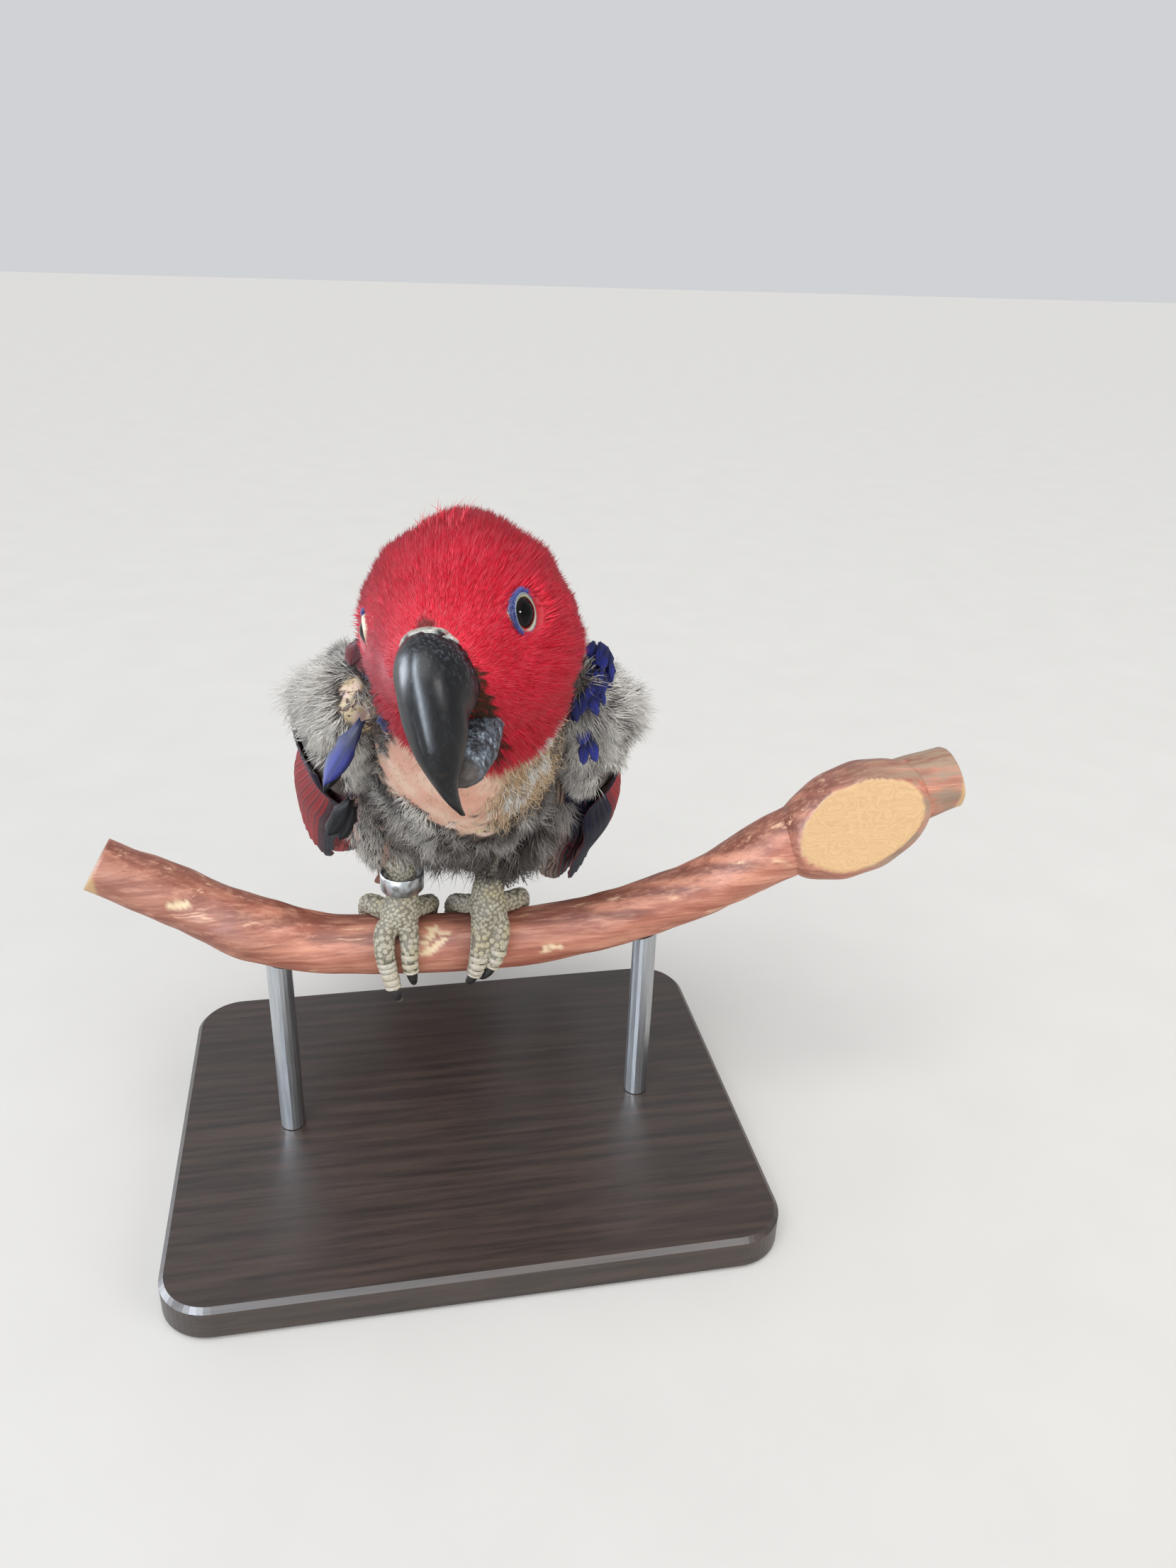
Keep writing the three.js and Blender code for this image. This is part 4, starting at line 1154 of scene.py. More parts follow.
down_coat("down_belly", 2350, on_trunk * below * (1 - skin["thigh"]), 51, around_trunk, trunk_length,
          lambda roots, part: 0.42, ["torso", "neck"])
down_coat("down_back", 2400, on_trunk * ~below * (1 - skin["thigh"]), 53, around_trunk,
          lambda roots, part: lerp(5.0, 7.5, ease(part["s"], 0, 30)),
          lambda roots, part: 0.38, ["torso", "neck"])
for side in (1, -1):
    _, across_arm, _ = arm_place(side, skin_points)
    last = ARM_DOWN_END[side] + 28 * ease(across_arm, 0.2, -0.6) + 4 * wander(skin_points, 7, 64)
    own = skin["arm"] * (side * skin_points[:, 0] > 0) * ease(skin["s"], last + 3, last - 3)
    down_coat(f"down_wing_{SIDE_NAME[side]}", 2200, own * (1 - skin["sore"]), 60 + side,
              around_arm, lambda roots, part: lerp(5.2, 9.5, hang_down(side, roots) * shoulder_point(roots)),
              lambda roots, part: lerp(0.35, 0.65, hang_down(side, roots)), [f"wing_{SIDE_NAME[side]}"])
left_shank = skin["foot"] * (skin_points[:, 0] > 0) * ease(skin_points[:, 2], 108, 112)
on_legs = skin["thigh"] * (1 - skin["foot"]) * ease(skin_points[:, 2], 110, 117) + left_shank
down_coat("down_legs", 900, on_legs, 71, around_leg, lambda roots, part: 4.6 + 5 * (roots[:, 0] > 0),
          lambda roots, part: 0.5, ["thigh_left", "thigh_right"])

# %% [markdown]
# ## Thin plumes and wisps
# Between plucked feathers stay single hairlike plumes, yellowish on the left of the chest and white
# in a few tufts, and the crown has a few red wisps that stand up. They are slivers like the barbs,
# one to a root, where the photograph shows them.

# %% Thin plumes on the chest and wisps on the crown
def thin_plumes(name, count, density, seed, length, lift, width, material, slot="down", unwrap=around_trunk,
                **fields):
    """Lone thin slivers, bent once. length and width are each a range."""
    roots, normals, draw = plant(count, density, seed)
    way = lie(roots, normals)
    side = np.cross(normals, way)
    tilt = lift + draw.normal(0, 0.12, count)
    turn = 0.5 * wander(roots, 4, seed) + draw.normal(0, 0.25, count)
    first = unit(way + normals * tilt[:, None] + side * turn[:, None])
    second = unit(first + 0.5 * side * draw.normal(0, 0.8, (count, 1)) - 0.25 * normals)
    half = draw.uniform(*length, count)[:, None] / 2
    line = np.stack([roots - 0.2 * normals, roots + first * half, roots + (first + second) * half], 1)
    turned = unit(np.cross(first, normals))
    wide = draw.uniform(*width, count)[:, None] * [1.0, 0.8]
    fields = {field: np.full(count, value) for field, value in fields.items()}
    mesh = coat_mesh(name, line, turned, np.cross(turned, first), wide, unwrap, luck=draw.random(count),
                     **fields)
    return add_piece(name, mesh, material, ["torso"])


def plume_recipe(place):
    luck, tip = place["luck"], place["tip"]
    base = luck.mix((196, 160, 116), (238, 224, 196))
    base = ((1 - tip) * 0.4).mix(base, (176, 130, 96))
    return look(base, luck * 0.2 + 0.5)


plume_finish = finish("thin plume", plume_recipe, Specular_IOR_Level=0.3)
WHITE_TUFTS = ((770, 1034, 3.4), (754, 1082, 3.0), (722, 1120, 3.0), (590, 1150, 5.0))  # pixel and radius
WISPS = ((612, 752, 3.6), (640, 745, 3.6))
yellow = ease(skin["around"], 2, 14) * ease(skin["around"], 66, 54)
yellow = yellow * ease(skin["s"], -9, -5) * ease(skin["s"], 30, 22) * (1 - skin["arm"]) * (1 - skin["hood"])
thin_plumes("chest_plumes", 1100, yellow, 81, (8, 14), 0.16, (0.15, 0.24), plume_finish)
white = near_pixels(skin_points, WHITE_TUFTS, 3) * (skin["s"] < 50) * (1 - skin["hood"])
thin_plumes("chest_tufts", 900, white, 83, (3, 5.5), 0.7, (0.16, 0.28), down_finish, pale=1.0, brown=0.0)
chest = skin["bare"] * (skin["around"] < 5)
thin_plumes("chest_hairs", 320, chest, 85, (2, 4), 0.35, (0.1, 0.18), plume_finish)
crown = near_pixels(skin_points, WISPS, 0.5)
thin_plumes("crown_wisps", 34, crown, 87, (4, 9), 1.3, (0.22, 0.34), hood_finish, "hood", around_head,
            gape=0.0)
print("crown wisps stand on", int((crown > 0.5).sum()), "points of the skin")

# %% [markdown]
# ## Flight and tail feathers
# A flight feather is a curved plate: a shaft that thins to the tip, and two webs of fine barbs.
# Each is a grid of points bent over the same cupped shell as the solids' feathers, closed with an
# underside. The webs' edges are uneven and split here and there where the barbs have come apart.
# The rows overlap in layers, outer primaries lowest, as on a folded wing.

# %% One feather
ROWS, COLUMNS = 46, 11
FEATHER_THICK = 0.3


def feather_grid(place, half_width, draw, shaft=-0.3, blunt=0.2, splits=2, worn=0.05):
    """Top and underside of a feather. place(t, e, h) gives a point along, across and above it."""
    t = np.linspace(0, 1, ROWS)[:, None]
    e = np.linspace(-1, 1, COLUMNS)[None, :]
    round_tip = np.sqrt(np.clip(1 - ((t - 1 + blunt) / blunt).clip(0, 1) ** 2.2, 0.0009, 1))
    wide = lerp(0.55, 1.0, ease(t, 0, 0.25)) * round_tip
    edge = 1 + worn * wander(np.stack([t[:, 0] * 60, t[:, 0] * 0], -1), 9, int(draw.integers(999)))[:, None]
    for _ in range(splits):
        at, side = draw.uniform(0.45, 0.93), draw.choice([-1, 1])
        depth = draw.uniform(0.2, 0.5) * hump(t - at, 0.011)
        edge = edge * (1 - depth * (side * e > 0.25))
    across = half_width * wide * edge * (e + 0 * t)
    cup = -0.55 * (e**2) * np.minimum(wide, 1)
    from_shaft = np.abs(e - shaft)
    quill = (0.55 * (1 - t) + 0.12) * hump(from_shaft, 0.11)
    thick = FEATHER_THICK * (1 - 0.6 * from_shaft.clip(0, 1))
    tops = place(t + 0 * e, across, cup + quill + thick)
    unders = place(t + 0 * e, across, cup - 0.4 * quill)
    web = np.broadcast_to(e - shaft, across.shape) / np.where(e > shaft, 1 - shaft, 1 + shaft)
    return tops, unders, web, t + 0 * e


def feather_mesh(name, feathers):
    """Joins feathers into one mesh, with its place along, across and side of each, and an unwrap."""
    tops, unders, web, along = (np.stack(values) for values in zip(*feathers))
    points, faces = plates(tops, unders)
    mesh = mesh_of(name, points, faces)
    count = len(tops)
    web, along = both_sides(web, tops.shape[:3]), both_sides(along, tops.shape[:3])
    below = np.tile(np.repeat([0.0, 1.0], ROWS * COLUMNS), count)
    number = np.repeat(np.arange(count), 2 * ROWS * COLUMNS)
    set_fields(mesh, web=web, along=along, below=below, luck=(number * 0.618034) % 1)
    cell = (number + 0.5 * below + 0.25 + 0.18 * web) / count
    set_unwrap(mesh, np.stack([0.02 + 0.96 * cell, 0.02 + 0.96 * along], -1))
    return mesh


def barb_bump(place):
    """Fine slanting lines to both sides of the shaft."""
    slant = (abs(place["web"]) * 0.16 + place["along"]) * 520
    return slant.maths("SINE", slant) * 0.5 + 0.5


print("points in one flight feather:", 2 * ROWS * COLUMNS)

# %% Wing shell
WING = table([
    [0, 33, 2, 14], [20, 36, 0, 18], [45, 40, -3, 22], [85, 43.5, -6, 22], [125, 44.5, -8, 19],
    [160, 44.5, -10, 16], [200, 43, -12, 12],
])  # place along the trunk, how far out it reaches, middle height, half height
WING_MIDDLE = 20


def wing_point(side, s, angle, lift, arm):
    """A place on the wing's shell. arm is 1 where the shell follows the arm until that ends."""
    reach, middle, half = np.moveaxis(WING(s), -1, 0)
    out, height, across, high = np.moveaxis(ARM(s), -1, 0)
    blend = 1 - arm * ease(s, 85, 45)
    lift = lift - 2.5 * (1 - arm) * ease(s, 64, 36)
    a = np.radians(angle)
    wide = {1: 4.4 * ease(s, 55, 90) * ease(s, 150, 100), -1: 3.8 * ease(s, 60, 95)}[side]
    far = lerp(across, reach - WING_MIDDLE, blend) + lift + wide - 3 * (1 - blend)
    tall = lerp(high, half, blend) + lift
    return settle(side, s, lerp(out, WING_MIDDLE, blend) + far * np.cos(a),
                  lerp(height, middle, blend) + tall * np.sin(a))


print("the wing's shell reaches", float(WING(125)[0]), "mm out")

# %% Wing feathers
def wing_feather(side, draw, root, tip, half_width, lift, arm, **shape):
    """root and tip are each a place along and an angle on the wing's shell."""

    def place(t, e, h):
        s = lerp(root[0], tip[0], t)
        angle = lerp(root[1], tip[1], ease(t, 0, 1)) + np.degrees(e / 20)
        return wing_point(side, s, angle, lift + h, arm)

    return feather_grid(place, half_width, draw, **shape)


FEATHER_ROWS = {
    # count, root along, reach along at both ends, root angles, tip angles, half width, lift, layer, arm
    "primary": (10, 40, (191, 176), (-66, -30), (-44, 10), 8.2, -8.3, 0.72, 0),
    "secondary": (9, 34, (150, 112), (-26, 46), (-6, 68), 8.4, -0.8, 0.6, 0),
    "outer": (14, 34, (176, 90), (-48, 30), (-36, 40), 4.0, 0.2, 0.2, 1),
}


def wing_mesh(side):
    draw = np.random.default_rng(90 + side)
    feathers, navy, brown, red_from = [], [], [], []
    for kind, (count, root, reach, roots, tips, half_width, lift, layer, arm) in FEATHER_ROWS.items():
        for i in range(count):
            share = i / (count - 1)
            bulge = 12 * math.sin(math.pi * share) if kind == "primary" else 0
            tip = lerp(*reach, share) + bulge + draw.uniform(0, 3)
            angle = lerp(*tips, share) + draw.normal(0, 1)
            start = root + draw.uniform(0, 4)
            feathers.append(wing_feather(side, draw, (start, lerp(*roots, share)), (tip, angle), half_width,
                                         lift + layer * i, arm, splits=3))
            low = (-10, -18) if kind == "outer" else (40, 30)
            navy.append(float(ease(angle, *low) if side > 0 else ease(angle, -27, -33)))
            brown.append(float(ease(angle, -16, -24)) if kind == "primary" and side > 0 else 0.0)
            red_from.append((64 + 0.3 * angle - start) / (tip - start))
    mesh = feather_mesh(f"wing_feathers_{SIDE_NAME[side]}", feathers)
    kinds = {"navy": navy, "brown": brown, "red_from": red_from}
    set_fields(mesh, **{name: np.repeat(values, 2 * ROWS * COLUMNS) for name, values in kinds.items()})
    return mesh


print("feathers in a wing:", sum(row[0] for row in FEATHER_ROWS.values()))

# %% Wing finish
SLATE = (84, 94, 110)
WING_RED = (158, 30, 36)
NIGHT = (20, 20, 26)


def line_noise(place, along):
    """Noise that changes along one number, such as the place across a web."""
    return place.node("ShaderNodeTexNoise", {"noise_dimensions": "1D"}, {"W": along, "Scale": 1.0})


def wing_recipe(place):
    web, along, luck = place["web"], place["along"], place["luck"]
    streak = line_noise(place, web * 6 + luck * 40)
    fine = line_noise(place, web * 26 + luck * 90)
    turning = along + streak * 0.14 - 0.07 - place["red_from"]
    outer = turning.rise(-0.05, 0.13).mix(SLATE, WING_RED)
    outer = turning.rise(0.2, 0.6).mix(outer, (190, 30, 40))
    outer = (fine.rise(0.45, 0.75) * 0.4).mix(outer, (196, 92, 92))
    outer = (streak.rise(0.5, 0.8) * 0.6).mix(outer, NIGHT)
    inner = along.rise(0.2, 0.7).mix((34, 40, 54), (40, 22, 24))
    base = web.rise(0.15, 0.45).mix(outer, inner)
    dark = streak.rise(0.35, 0.7).mix((20, 25, 58), (14, 14, 22))
    base = place["navy"].mix(base, dark)
    dull = streak.rise(0.3, 0.7).mix((66, 56, 50), (112, 94, 84))
    dull = abs(web).rise(0.6, 0.9).mix(dull, (166, 138, 122))
    base = place["brown"].mix(base, dull)
    rim = web.rise(-0.8, -0.94) * (1 - place["brown"])
    base = (rim * along.rise(0.35, 0.6)).mix(base, (140, 26, 32))
    shaft = 1 - abs(web).rise(0.02, 0.07)
    base = (shaft * 0.8).mix(base, (22, 16, 16))
    under = streak.mix((92, 78, 70), (122, 106, 94))
    under = web.rise(-0.72, -0.9).mix(under, (130, 30, 30))
    base = place["below"].mix(base, under)
    height = barb_bump(place) + streak * 1.2 + fine
    return look(base, streak * 0.15 + 0.52, height.bump(0.12, 0.7))


wing_finish = finish("flight feather", wing_recipe, Specular_IOR_Level=0.14)
for side, name in SIDE_NAME.items():
    add_piece(f"wing_feathers_{name}", wing_mesh(side), wing_finish, [f"wing_{name}"])

# %% Tail
TAIL = {"pairs": 6, "root": 110, "length": 108, "half_width": 9.3, "spread": 1.25, "tilt": 5.5}


def tail_point(out, x, n):
    c, d = math.cos(math.radians(TAIL["tilt"])), math.sin(math.radians(TAIL["tilt"]))
    return trunk_point(TAIL["root"] + out * c + n * d, x, n * c - out * d)


def tail_feather(side, i, length, half_width, lift, draw, **shape):
    swing = math.radians(TAIL["spread"] * (i + 0.5)) * side

    def place(t, e, h):
        out = length * t
        x = side * (1.6 + 0.9 * i) + out * math.sin(swing) + e * math.cos(swing)
        droop = 0.0002 * out**2 + 0.006 * x**2
        return tail_point(out * math.cos(swing), x, lift + h - droop)

    return feather_grid(place, half_width, draw, **shape)


def tail_mesh():
    draw = np.random.default_rng(77)
    feathers = []
    for i in range(TAIL["pairs"]):
        for side in (1, -1):
            lift = 3.2 - (2 * i + (side < 0)) * 0.95
            length = TAIL["length"] - 1.6 * i + draw.uniform(0, 2)
            feathers.append(tail_feather(side, i, length, TAIL["half_width"], lift, draw, shaft=-0.05,
                                         blunt=0.16))
    for side, i in ((1, 0), (-1, 0), (1, 2), (-1, 2), (1, 4), (-1, 4)):
        lift = (6.2, 0, 5.2, 0, 4.0)[i] - (side < 0) * 0.9
        feathers.append(tail_feather(side, i, 46 + draw.uniform(0, 4), 7, lift, draw, shaft=0.0, blunt=0.3))
    return feather_mesh("tail_feathers", feathers)


def tail_recipe(place):
    web, along, luck = place["web"], place["along"], place["luck"]
    streak = line_noise(place, web * 7 + luck * 40)
    base = along.rise(0.3, 0.85).mix((104, 14, 22), (186, 44, 26))
    base = (along.rise(0.86, 1.0) * 0.6).mix(base, (214, 84, 36))
    base = (streak.rise(0.4, 0.75) * 0.5).mix(base, (64, 10, 16))
    base = ((1 - abs(web).rise(0.02, 0.06)) * 0.8).mix(base, (40, 10, 12))
    under = along.rise(0.5, 1.0).mix((96, 60, 50), (170, 90, 50))
    base = place["below"].mix(base, under)
    return look(base, streak * 0.15 + 0.42, barb_bump(place).bump(0.12, 0.6))


tail_finish = finish("tail feather", tail_recipe, Specular_IOR_Level=0.4, Sheen_Weight=0.1)
add_piece("tail_feathers", tail_mesh(), tail_finish, ["tail"])

# %% [markdown]
# ## Bill and cere
# The upper bill is one horn: broad at its root, pinched towards the cutting edge and hooked. It is
# a loft along its curve, with more rings than the solid, a low ridge, and the shallow groove and
# the small nicks of wear. The lower bill is duller and flakes in grey scales. The cere is a thin
# shell over the bill's root, sliced off at a slant, with a nostril on each side.

# %% Bill tables
UPPER_BILL = table([
    [0, 17, 7.7, 8, -12, 8.6], [0.14, 23.8, 9.2, 15, -13, 9], [0.3, 29.6, 7.9, 22, -13.8, 8.8],
    [0.44, 34.6, 3.4, 25.6, -15, 7.5], [0.57, 37.6, -4, 28.5, -18, 6.8], [0.7, 39.7, -13, 31.6, -21.1, 4.9],
    [0.82, 39.4, -20.5, 33.8, -24.7, 2.6], [0.92, 36.9, -27, 33.5, -28.9, 1.4],
    [1, 32.8, -32.8, 32.6, -32.4, 0.6],
])  # share of its length, ridge x and z, cutting edge x and z, half width
LOWER_BILL = table([
    [0, 8, -12.5, 4, -21, 7.6], [0.25, 14, -14.5, 12, -25.5, 7.7], [0.5, 20, -16.5, 19.5, -28.5, 7.3],
    [0.75, 26.5, -19, 27, -28.5, 6.2], [0.92, 30.5, -21.5, 31.5, -25.5, 4.8],
    [1, 31.5, -22.5, 32.3, -23.8, 3.6],
])
BILL_LEAN, BILL_ASIDE = 0.03, 0.6


def bill_rings(profile, count, sides, extra=0.0, keel=0.0):
    """Rings along a bill in the head's frame, with each point's share along and its angle."""
    t = np.linspace(0, 1, count) ** 0.9
    ridge_x, ridge_z, edge_x, edge_z, width = np.moveaxis(profile(t), -1, 0)
    a = circle(sides)
    half = np.stack([ridge_x - edge_x, ridge_z - edge_z], -1) / 2
    reach = np.linalg.norm(half, axis=1, keepdims=True)
    half = half / reach * (reach + extra)
    pinch = 1 + keel * hump(a - np.pi / 2, 0.22)
    rise = np.sin(a) * pinch
    x = ((ridge_x + edge_x) / 2)[:, None] + half[:, :1] * rise
    z = ((ridge_z + edge_z) / 2)[:, None] + half[:, 1:] * rise
    y = (width + extra)[:, None] * np.cos(a) - BILL_LEAN * z + BILL_ASIDE
    return head_point(x, y, z), t[:, None] + 0 * a, a[None] + 0 * t[:, None]


def closed_fields(values):
    """Values of rings, with those of the two points that close the ends."""
    return np.concatenate([values.ravel(), values[[0, -1]].mean(1)])


rings, share, angle = bill_rings(UPPER_BILL, 120, 72, keel=0.012)
upper_points, upper_faces = skin_of(rings)
share, angle = closed_fields(share), closed_fields(angle)
center = head_point(24.0, 0.0, -12.0)
outward = unit(upper_points - center)
groove = hump(angle - 1.78, 0.07) * ease(share, 0.52, 0.62) * ease(share, 0.8, 0.73)
nicks = np.clip(wander(upper_points, 2.2, 31) - 1.1, 0, 1) * ease(share, 0.45, 0.75)
flake = np.clip(wander(upper_points, 4.5, 32), 0, 1) * ease(share, 0.1, 0.2) * ease(share, 0.5, 0.3)
upper_points = upper_points - outward * (0.3 * groove + 0.1 * nicks + 0.05 * flake)[:, None]
bill_mesh = mesh_of("bill_upper_horn", upper_points, upper_faces)
set_fields(bill_mesh, share=share, groove=groove)
print("upper bill:", len(upper_points), "points")

# %% Bill finish
HORN = (10, 10, 12)
HORN_GREY = (40, 43, 48)


def bill_recipe(place):
    share = place["share"]
    cloud = place.noise(6, 4, 0.6)
    scratch = place.stretch(1, 1, 0.3).noise(0.8, 5, 0.75)
    base = cloud.rise(0.35, 0.75).mix(HORN, (16, 17, 20))
    base = (scratch.rise(0.54, 0.7) * 0.5).mix(base, HORN_GREY)
    worn = scratch.rise(0.48, 0.66) * share.rise(0.46, 0.16)
    base = (worn * 0.7).mix(base, (98, 104, 114))
    specks = place.cells(1.3).rise(0.16, 0.04) * place.noise(3, 2).rise(0.5, 0.65)
    base = (specks * 0.5).mix(base, (136, 142, 150))
    brown = place.noise(5, 3).rise(0.5, 0.7) * share.rise(0.55, 0.8)
    base = (brown * 0.5).mix(base, (62, 52, 44))
    # Painted shade: the groove is painted darker, as its shade
    base = (place["groove"] * 0.6).mix(base, (6, 6, 7))
    rough = scratch * 0.3 + cloud * 0.1 + 0.14
    height = scratch * 0.6 + place.noise(2.6, 3) * 0.4
    return look(base, rough, height.bump(0.12, 0.5))


horn_finish = finish("bill horn", bill_recipe, Specular_IOR_Level=0.3)
add_piece("bill_upper_horn", bill_mesh, horn_finish, ["bill_upper"])

# %% Lower bill
rings, share, _ = bill_rings(LOWER_BILL, 64, 60)
lower_points, lower_faces = skin_of(rings)
scaly = np.clip(wander(lower_points, 2.4, 33), -1, 1) + 0.6 * np.sign(wander(lower_points, 3.6, 34))
outward = unit(lower_points - head_point(17.0, 0.0, -20.0))
lower_mesh = mesh_of("bill_lower_horn", lower_points + 0.1 * scaly[:, None] * outward, lower_faces)
set_fields(lower_mesh, share=closed_fields(share))


def lower_bill_recipe(place):
    warped = place.shift(place.noise(2.5, 2, output=1).stretch(0.0016, 0.0016, 0.0016))
    flakes = warped.stretch(1, 1, 0.55).noise(1.7, 5, 0.75)
    patch = place.noise(5, 3)
    base = flakes.rise(0.44, 0.54).mix((30, 32, 36), (84, 92, 102))
    base = (flakes.rise(0.55, 0.62) * patch.rise(0.35, 0.6)).mix(base, (158, 170, 180))
    base = place["share"].rise(0.72, 0.95).mix(base, (84, 76, 70))
    return look(base, flakes * 0.3 + 0.35, flakes.bump(0.5, 0.8))


lower_finish = finish("lower bill horn", lower_bill_recipe, Specular_IOR_Level=0.45)
add_piece("bill_lower_horn", lower_mesh, lower_finish, ["bill_lower"])

# %% Cere
CERE_NORMAL = np.array([0.885, 0, -0.465]) @ HEAD.T
CERE_EDGE = head_point(25.35, 0.0, 9.0)
NOSTRILS = [head_point(23.9, side * 3.9 + BILL_ASIDE, 8.0) for side in (1, -1)]
rings, _, _ = bill_rings(UPPER_BILL, 150, 80, extra=0.42)
cere_points, cere_faces = skin_of(rings)
over = (cere_points - CERE_EDGE) @ unit(CERE_NORMAL)
over = over + 0.35 * wander(cere_points, 3.0, 35)
inner_rings, _, _ = bill_rings(UPPER_BILL, 150, 80, extra=-0.5)
inner_points, _ = skin_of(inner_rings)
cere_points = lerp(cere_points, inner_points, ease(over, -0.5, 0.35)[:, None])
for nostril in NOSTRILS:
    pit = np.linalg.norm(cere_points - nostril, axis=1)
    rim = 0.25 * hump(pit - 1.5, 0.5) - 0.9 * ease(pit, 1.15, 0.75)
    cere_points = cere_points + rim[:, None] * unit(cere_points - center)
cere_mesh = mesh_of("cere_shell", cere_points, cere_faces)
# Painted shade: the nostrils are painted dark, as the shade inside them
nostril_shade = np.zeros(len(cere_points))
for nostril in NOSTRILS:
    pit = np.linalg.norm(cere_points - nostril, axis=1)
    nostril_shade = np.maximum(nostril_shade, ease(pit, 1.3, 0.9))
set_fields(cere_mesh, pit=nostril_shade)


def cere_recipe(place):
    flaky = place.noise(1.2, 4, 0.7)
    base = flaky.rise(0.3, 0.7).mix((120, 120, 112), (196, 196, 186))
    # Painted shade inside the nostrils
    base = place["pit"].mix(base, (24, 20, 18))
    return look(base, flaky * 0.2 + 0.55, flaky.bump(0.25, 0.7))


cere_finish = finish("cere", cere_recipe, Specular_IOR_Level=0.35)
add_piece("cere_shell", cere_mesh, cere_finish, ["cere"])

# %% [markdown]
# ## Eyes
# A hen's eye is nearly black, with a thin pale ring at its edge. Round it lie a bare grey-blue
# lid, wrinkled in rings, and then a band of very small violet-blue feathers. The ball is a fine
# sphere with a clear coat, and the lid is a lathed ring that rests on it.

# %% Eyes and lids
EYE_SHOWN = 5.0  # radius of the ball that shows
OPENING = 4.0
LID = np.array([[3.8, 3.1], [3.92, 3.42], [4.1, 3.64], [4.35, 3.74], [4.65, 3.68], [4.95, 3.5], [5.2, 3.15],
                [5.3, 2.7], [5.15, 2.0]])  # distance from the eye's axis, height out


def round_axis(side, ring, turn, far):
    """Points round an eye's axis, by distance from it, angle and distance out."""
    center, out, fore, up = eye_frame(side)
    return (center + (ring * np.cos(turn))[..., None] * fore + (ring * np.sin(turn))[..., None] * up
            + far[..., None] * out)


def eye_sphere(side, rings=28, sides=40):
    polar = np.linspace(0.04, np.pi - 0.04, rings)[:, None]
    a = circle(sides)[None]
    ring = EYE_SHOWN * np.sin(polar)
    cornea = 0.22 * hump(polar, 0.42)
    far = (EYE_SHOWN + cornea) * np.cos(polar) + 0 * a
    return skin_of(round_axis(side, ring, a, far)), closed_fields(ring / OPENING + 0 * a)


def lid_ring(side, sides=96):
    profile = smooth_line(LID, 40)
    shut = np.concatenate([profile, profile[::-1] - [0.0, 0.7]])
    a = circle(sides)[:, None]
    crease = 0.07 * np.sin(shut[None, :, 0] * 7.5 + 0.5 * np.sin(3 * a)) * ease(shut[None, :, 0], 3.9, 4.2)
    ring = shut[None, :, 0] * eye_oval(shut[None, :, 0], np.cos(a))
    far = shut[None, :, 1] + crease
    ring = ring + 0.04 * np.sin(a * 31) * ease(ring, 4, 4.6)
    grid = round_axis(side, ring, a, far)
    quads = wrapped_faces(*grid.shape[:2])[:, ::side]
    violet = np.broadcast_to((side > 0) | (np.cos(a) < 0.3), grid.shape[:2])
    return grid.reshape(-1, 3), [quads], np.broadcast_to(shut[None, :, 0], grid.shape[:2]), violet


print("the lids reach", LID[:, 0].max(), "mm from the eye's axis")

# %% Finishes of eyes and lids
def eye_recipe(place):
    edge = place["edge"] + place.noise(1.2, 3) * 0.08
    base = edge.rise(0.7, 0.8).mix((3, 3, 4), (20, 14, 12))
    base = edge.rise(0.93, 0.98).mix(base, (190, 182, 150))
    return look(base, edge * 0.04 + 0.03)


def lid_recipe(place):
    across = place["across"]
    speck = place.noise(0.7, 4, 0.7)
    base = speck.rise(0.3, 0.7).mix((92, 104, 116), (136, 146, 154))
    base = place["violet"].mix((222, 200, 172), base)
    base = across.rise(4.3, 4.0).mix(base, (214, 210, 186))
    base = (across.rise(4.6, 4.85) * place["violet"]).mix(base, (52, 58, 120))
    return look(base, speck * 0.15 + 0.5, speck.bump(0.12, 0.6))


eye_finish = finish("eyeball", eye_recipe, Specular_IOR_Level=0.12, Coat_Weight=0.05, Coat_Roughness=0.02)
lid_finish = finish("eyelid", lid_recipe)
for side in (1, -1):
    (points, faces), edge = eye_sphere(side)
    ball = mesh_of(f"eyeball_{SIDE_NAME[side]}", points, faces)
    set_fields(ball, edge=edge)
    add_piece(ball.name, ball, eye_finish, [f"eye_{SIDE_NAME[side]}"])
    points, faces, across, violet = lid_ring(side)
    lid = mesh_of(f"eyelid_{SIDE_NAME[side]}", points, faces)
    set_fields(lid, across=across, violet=violet)
    add_piece(lid.name, lid, lid_finish, ["head"])

# %% Violet ring round the eyes
EYE_RING_STRANDS = 700


def violet_recipe(place):
    luck, tip = place["luck"], place["tip"]
    base = luck.mix((34, 36, 104), (74, 84, 176))
    base = (tip * 0.4).mix(base, (120, 134, 200))
    return look(base, luck * 0.2 + 0.5)


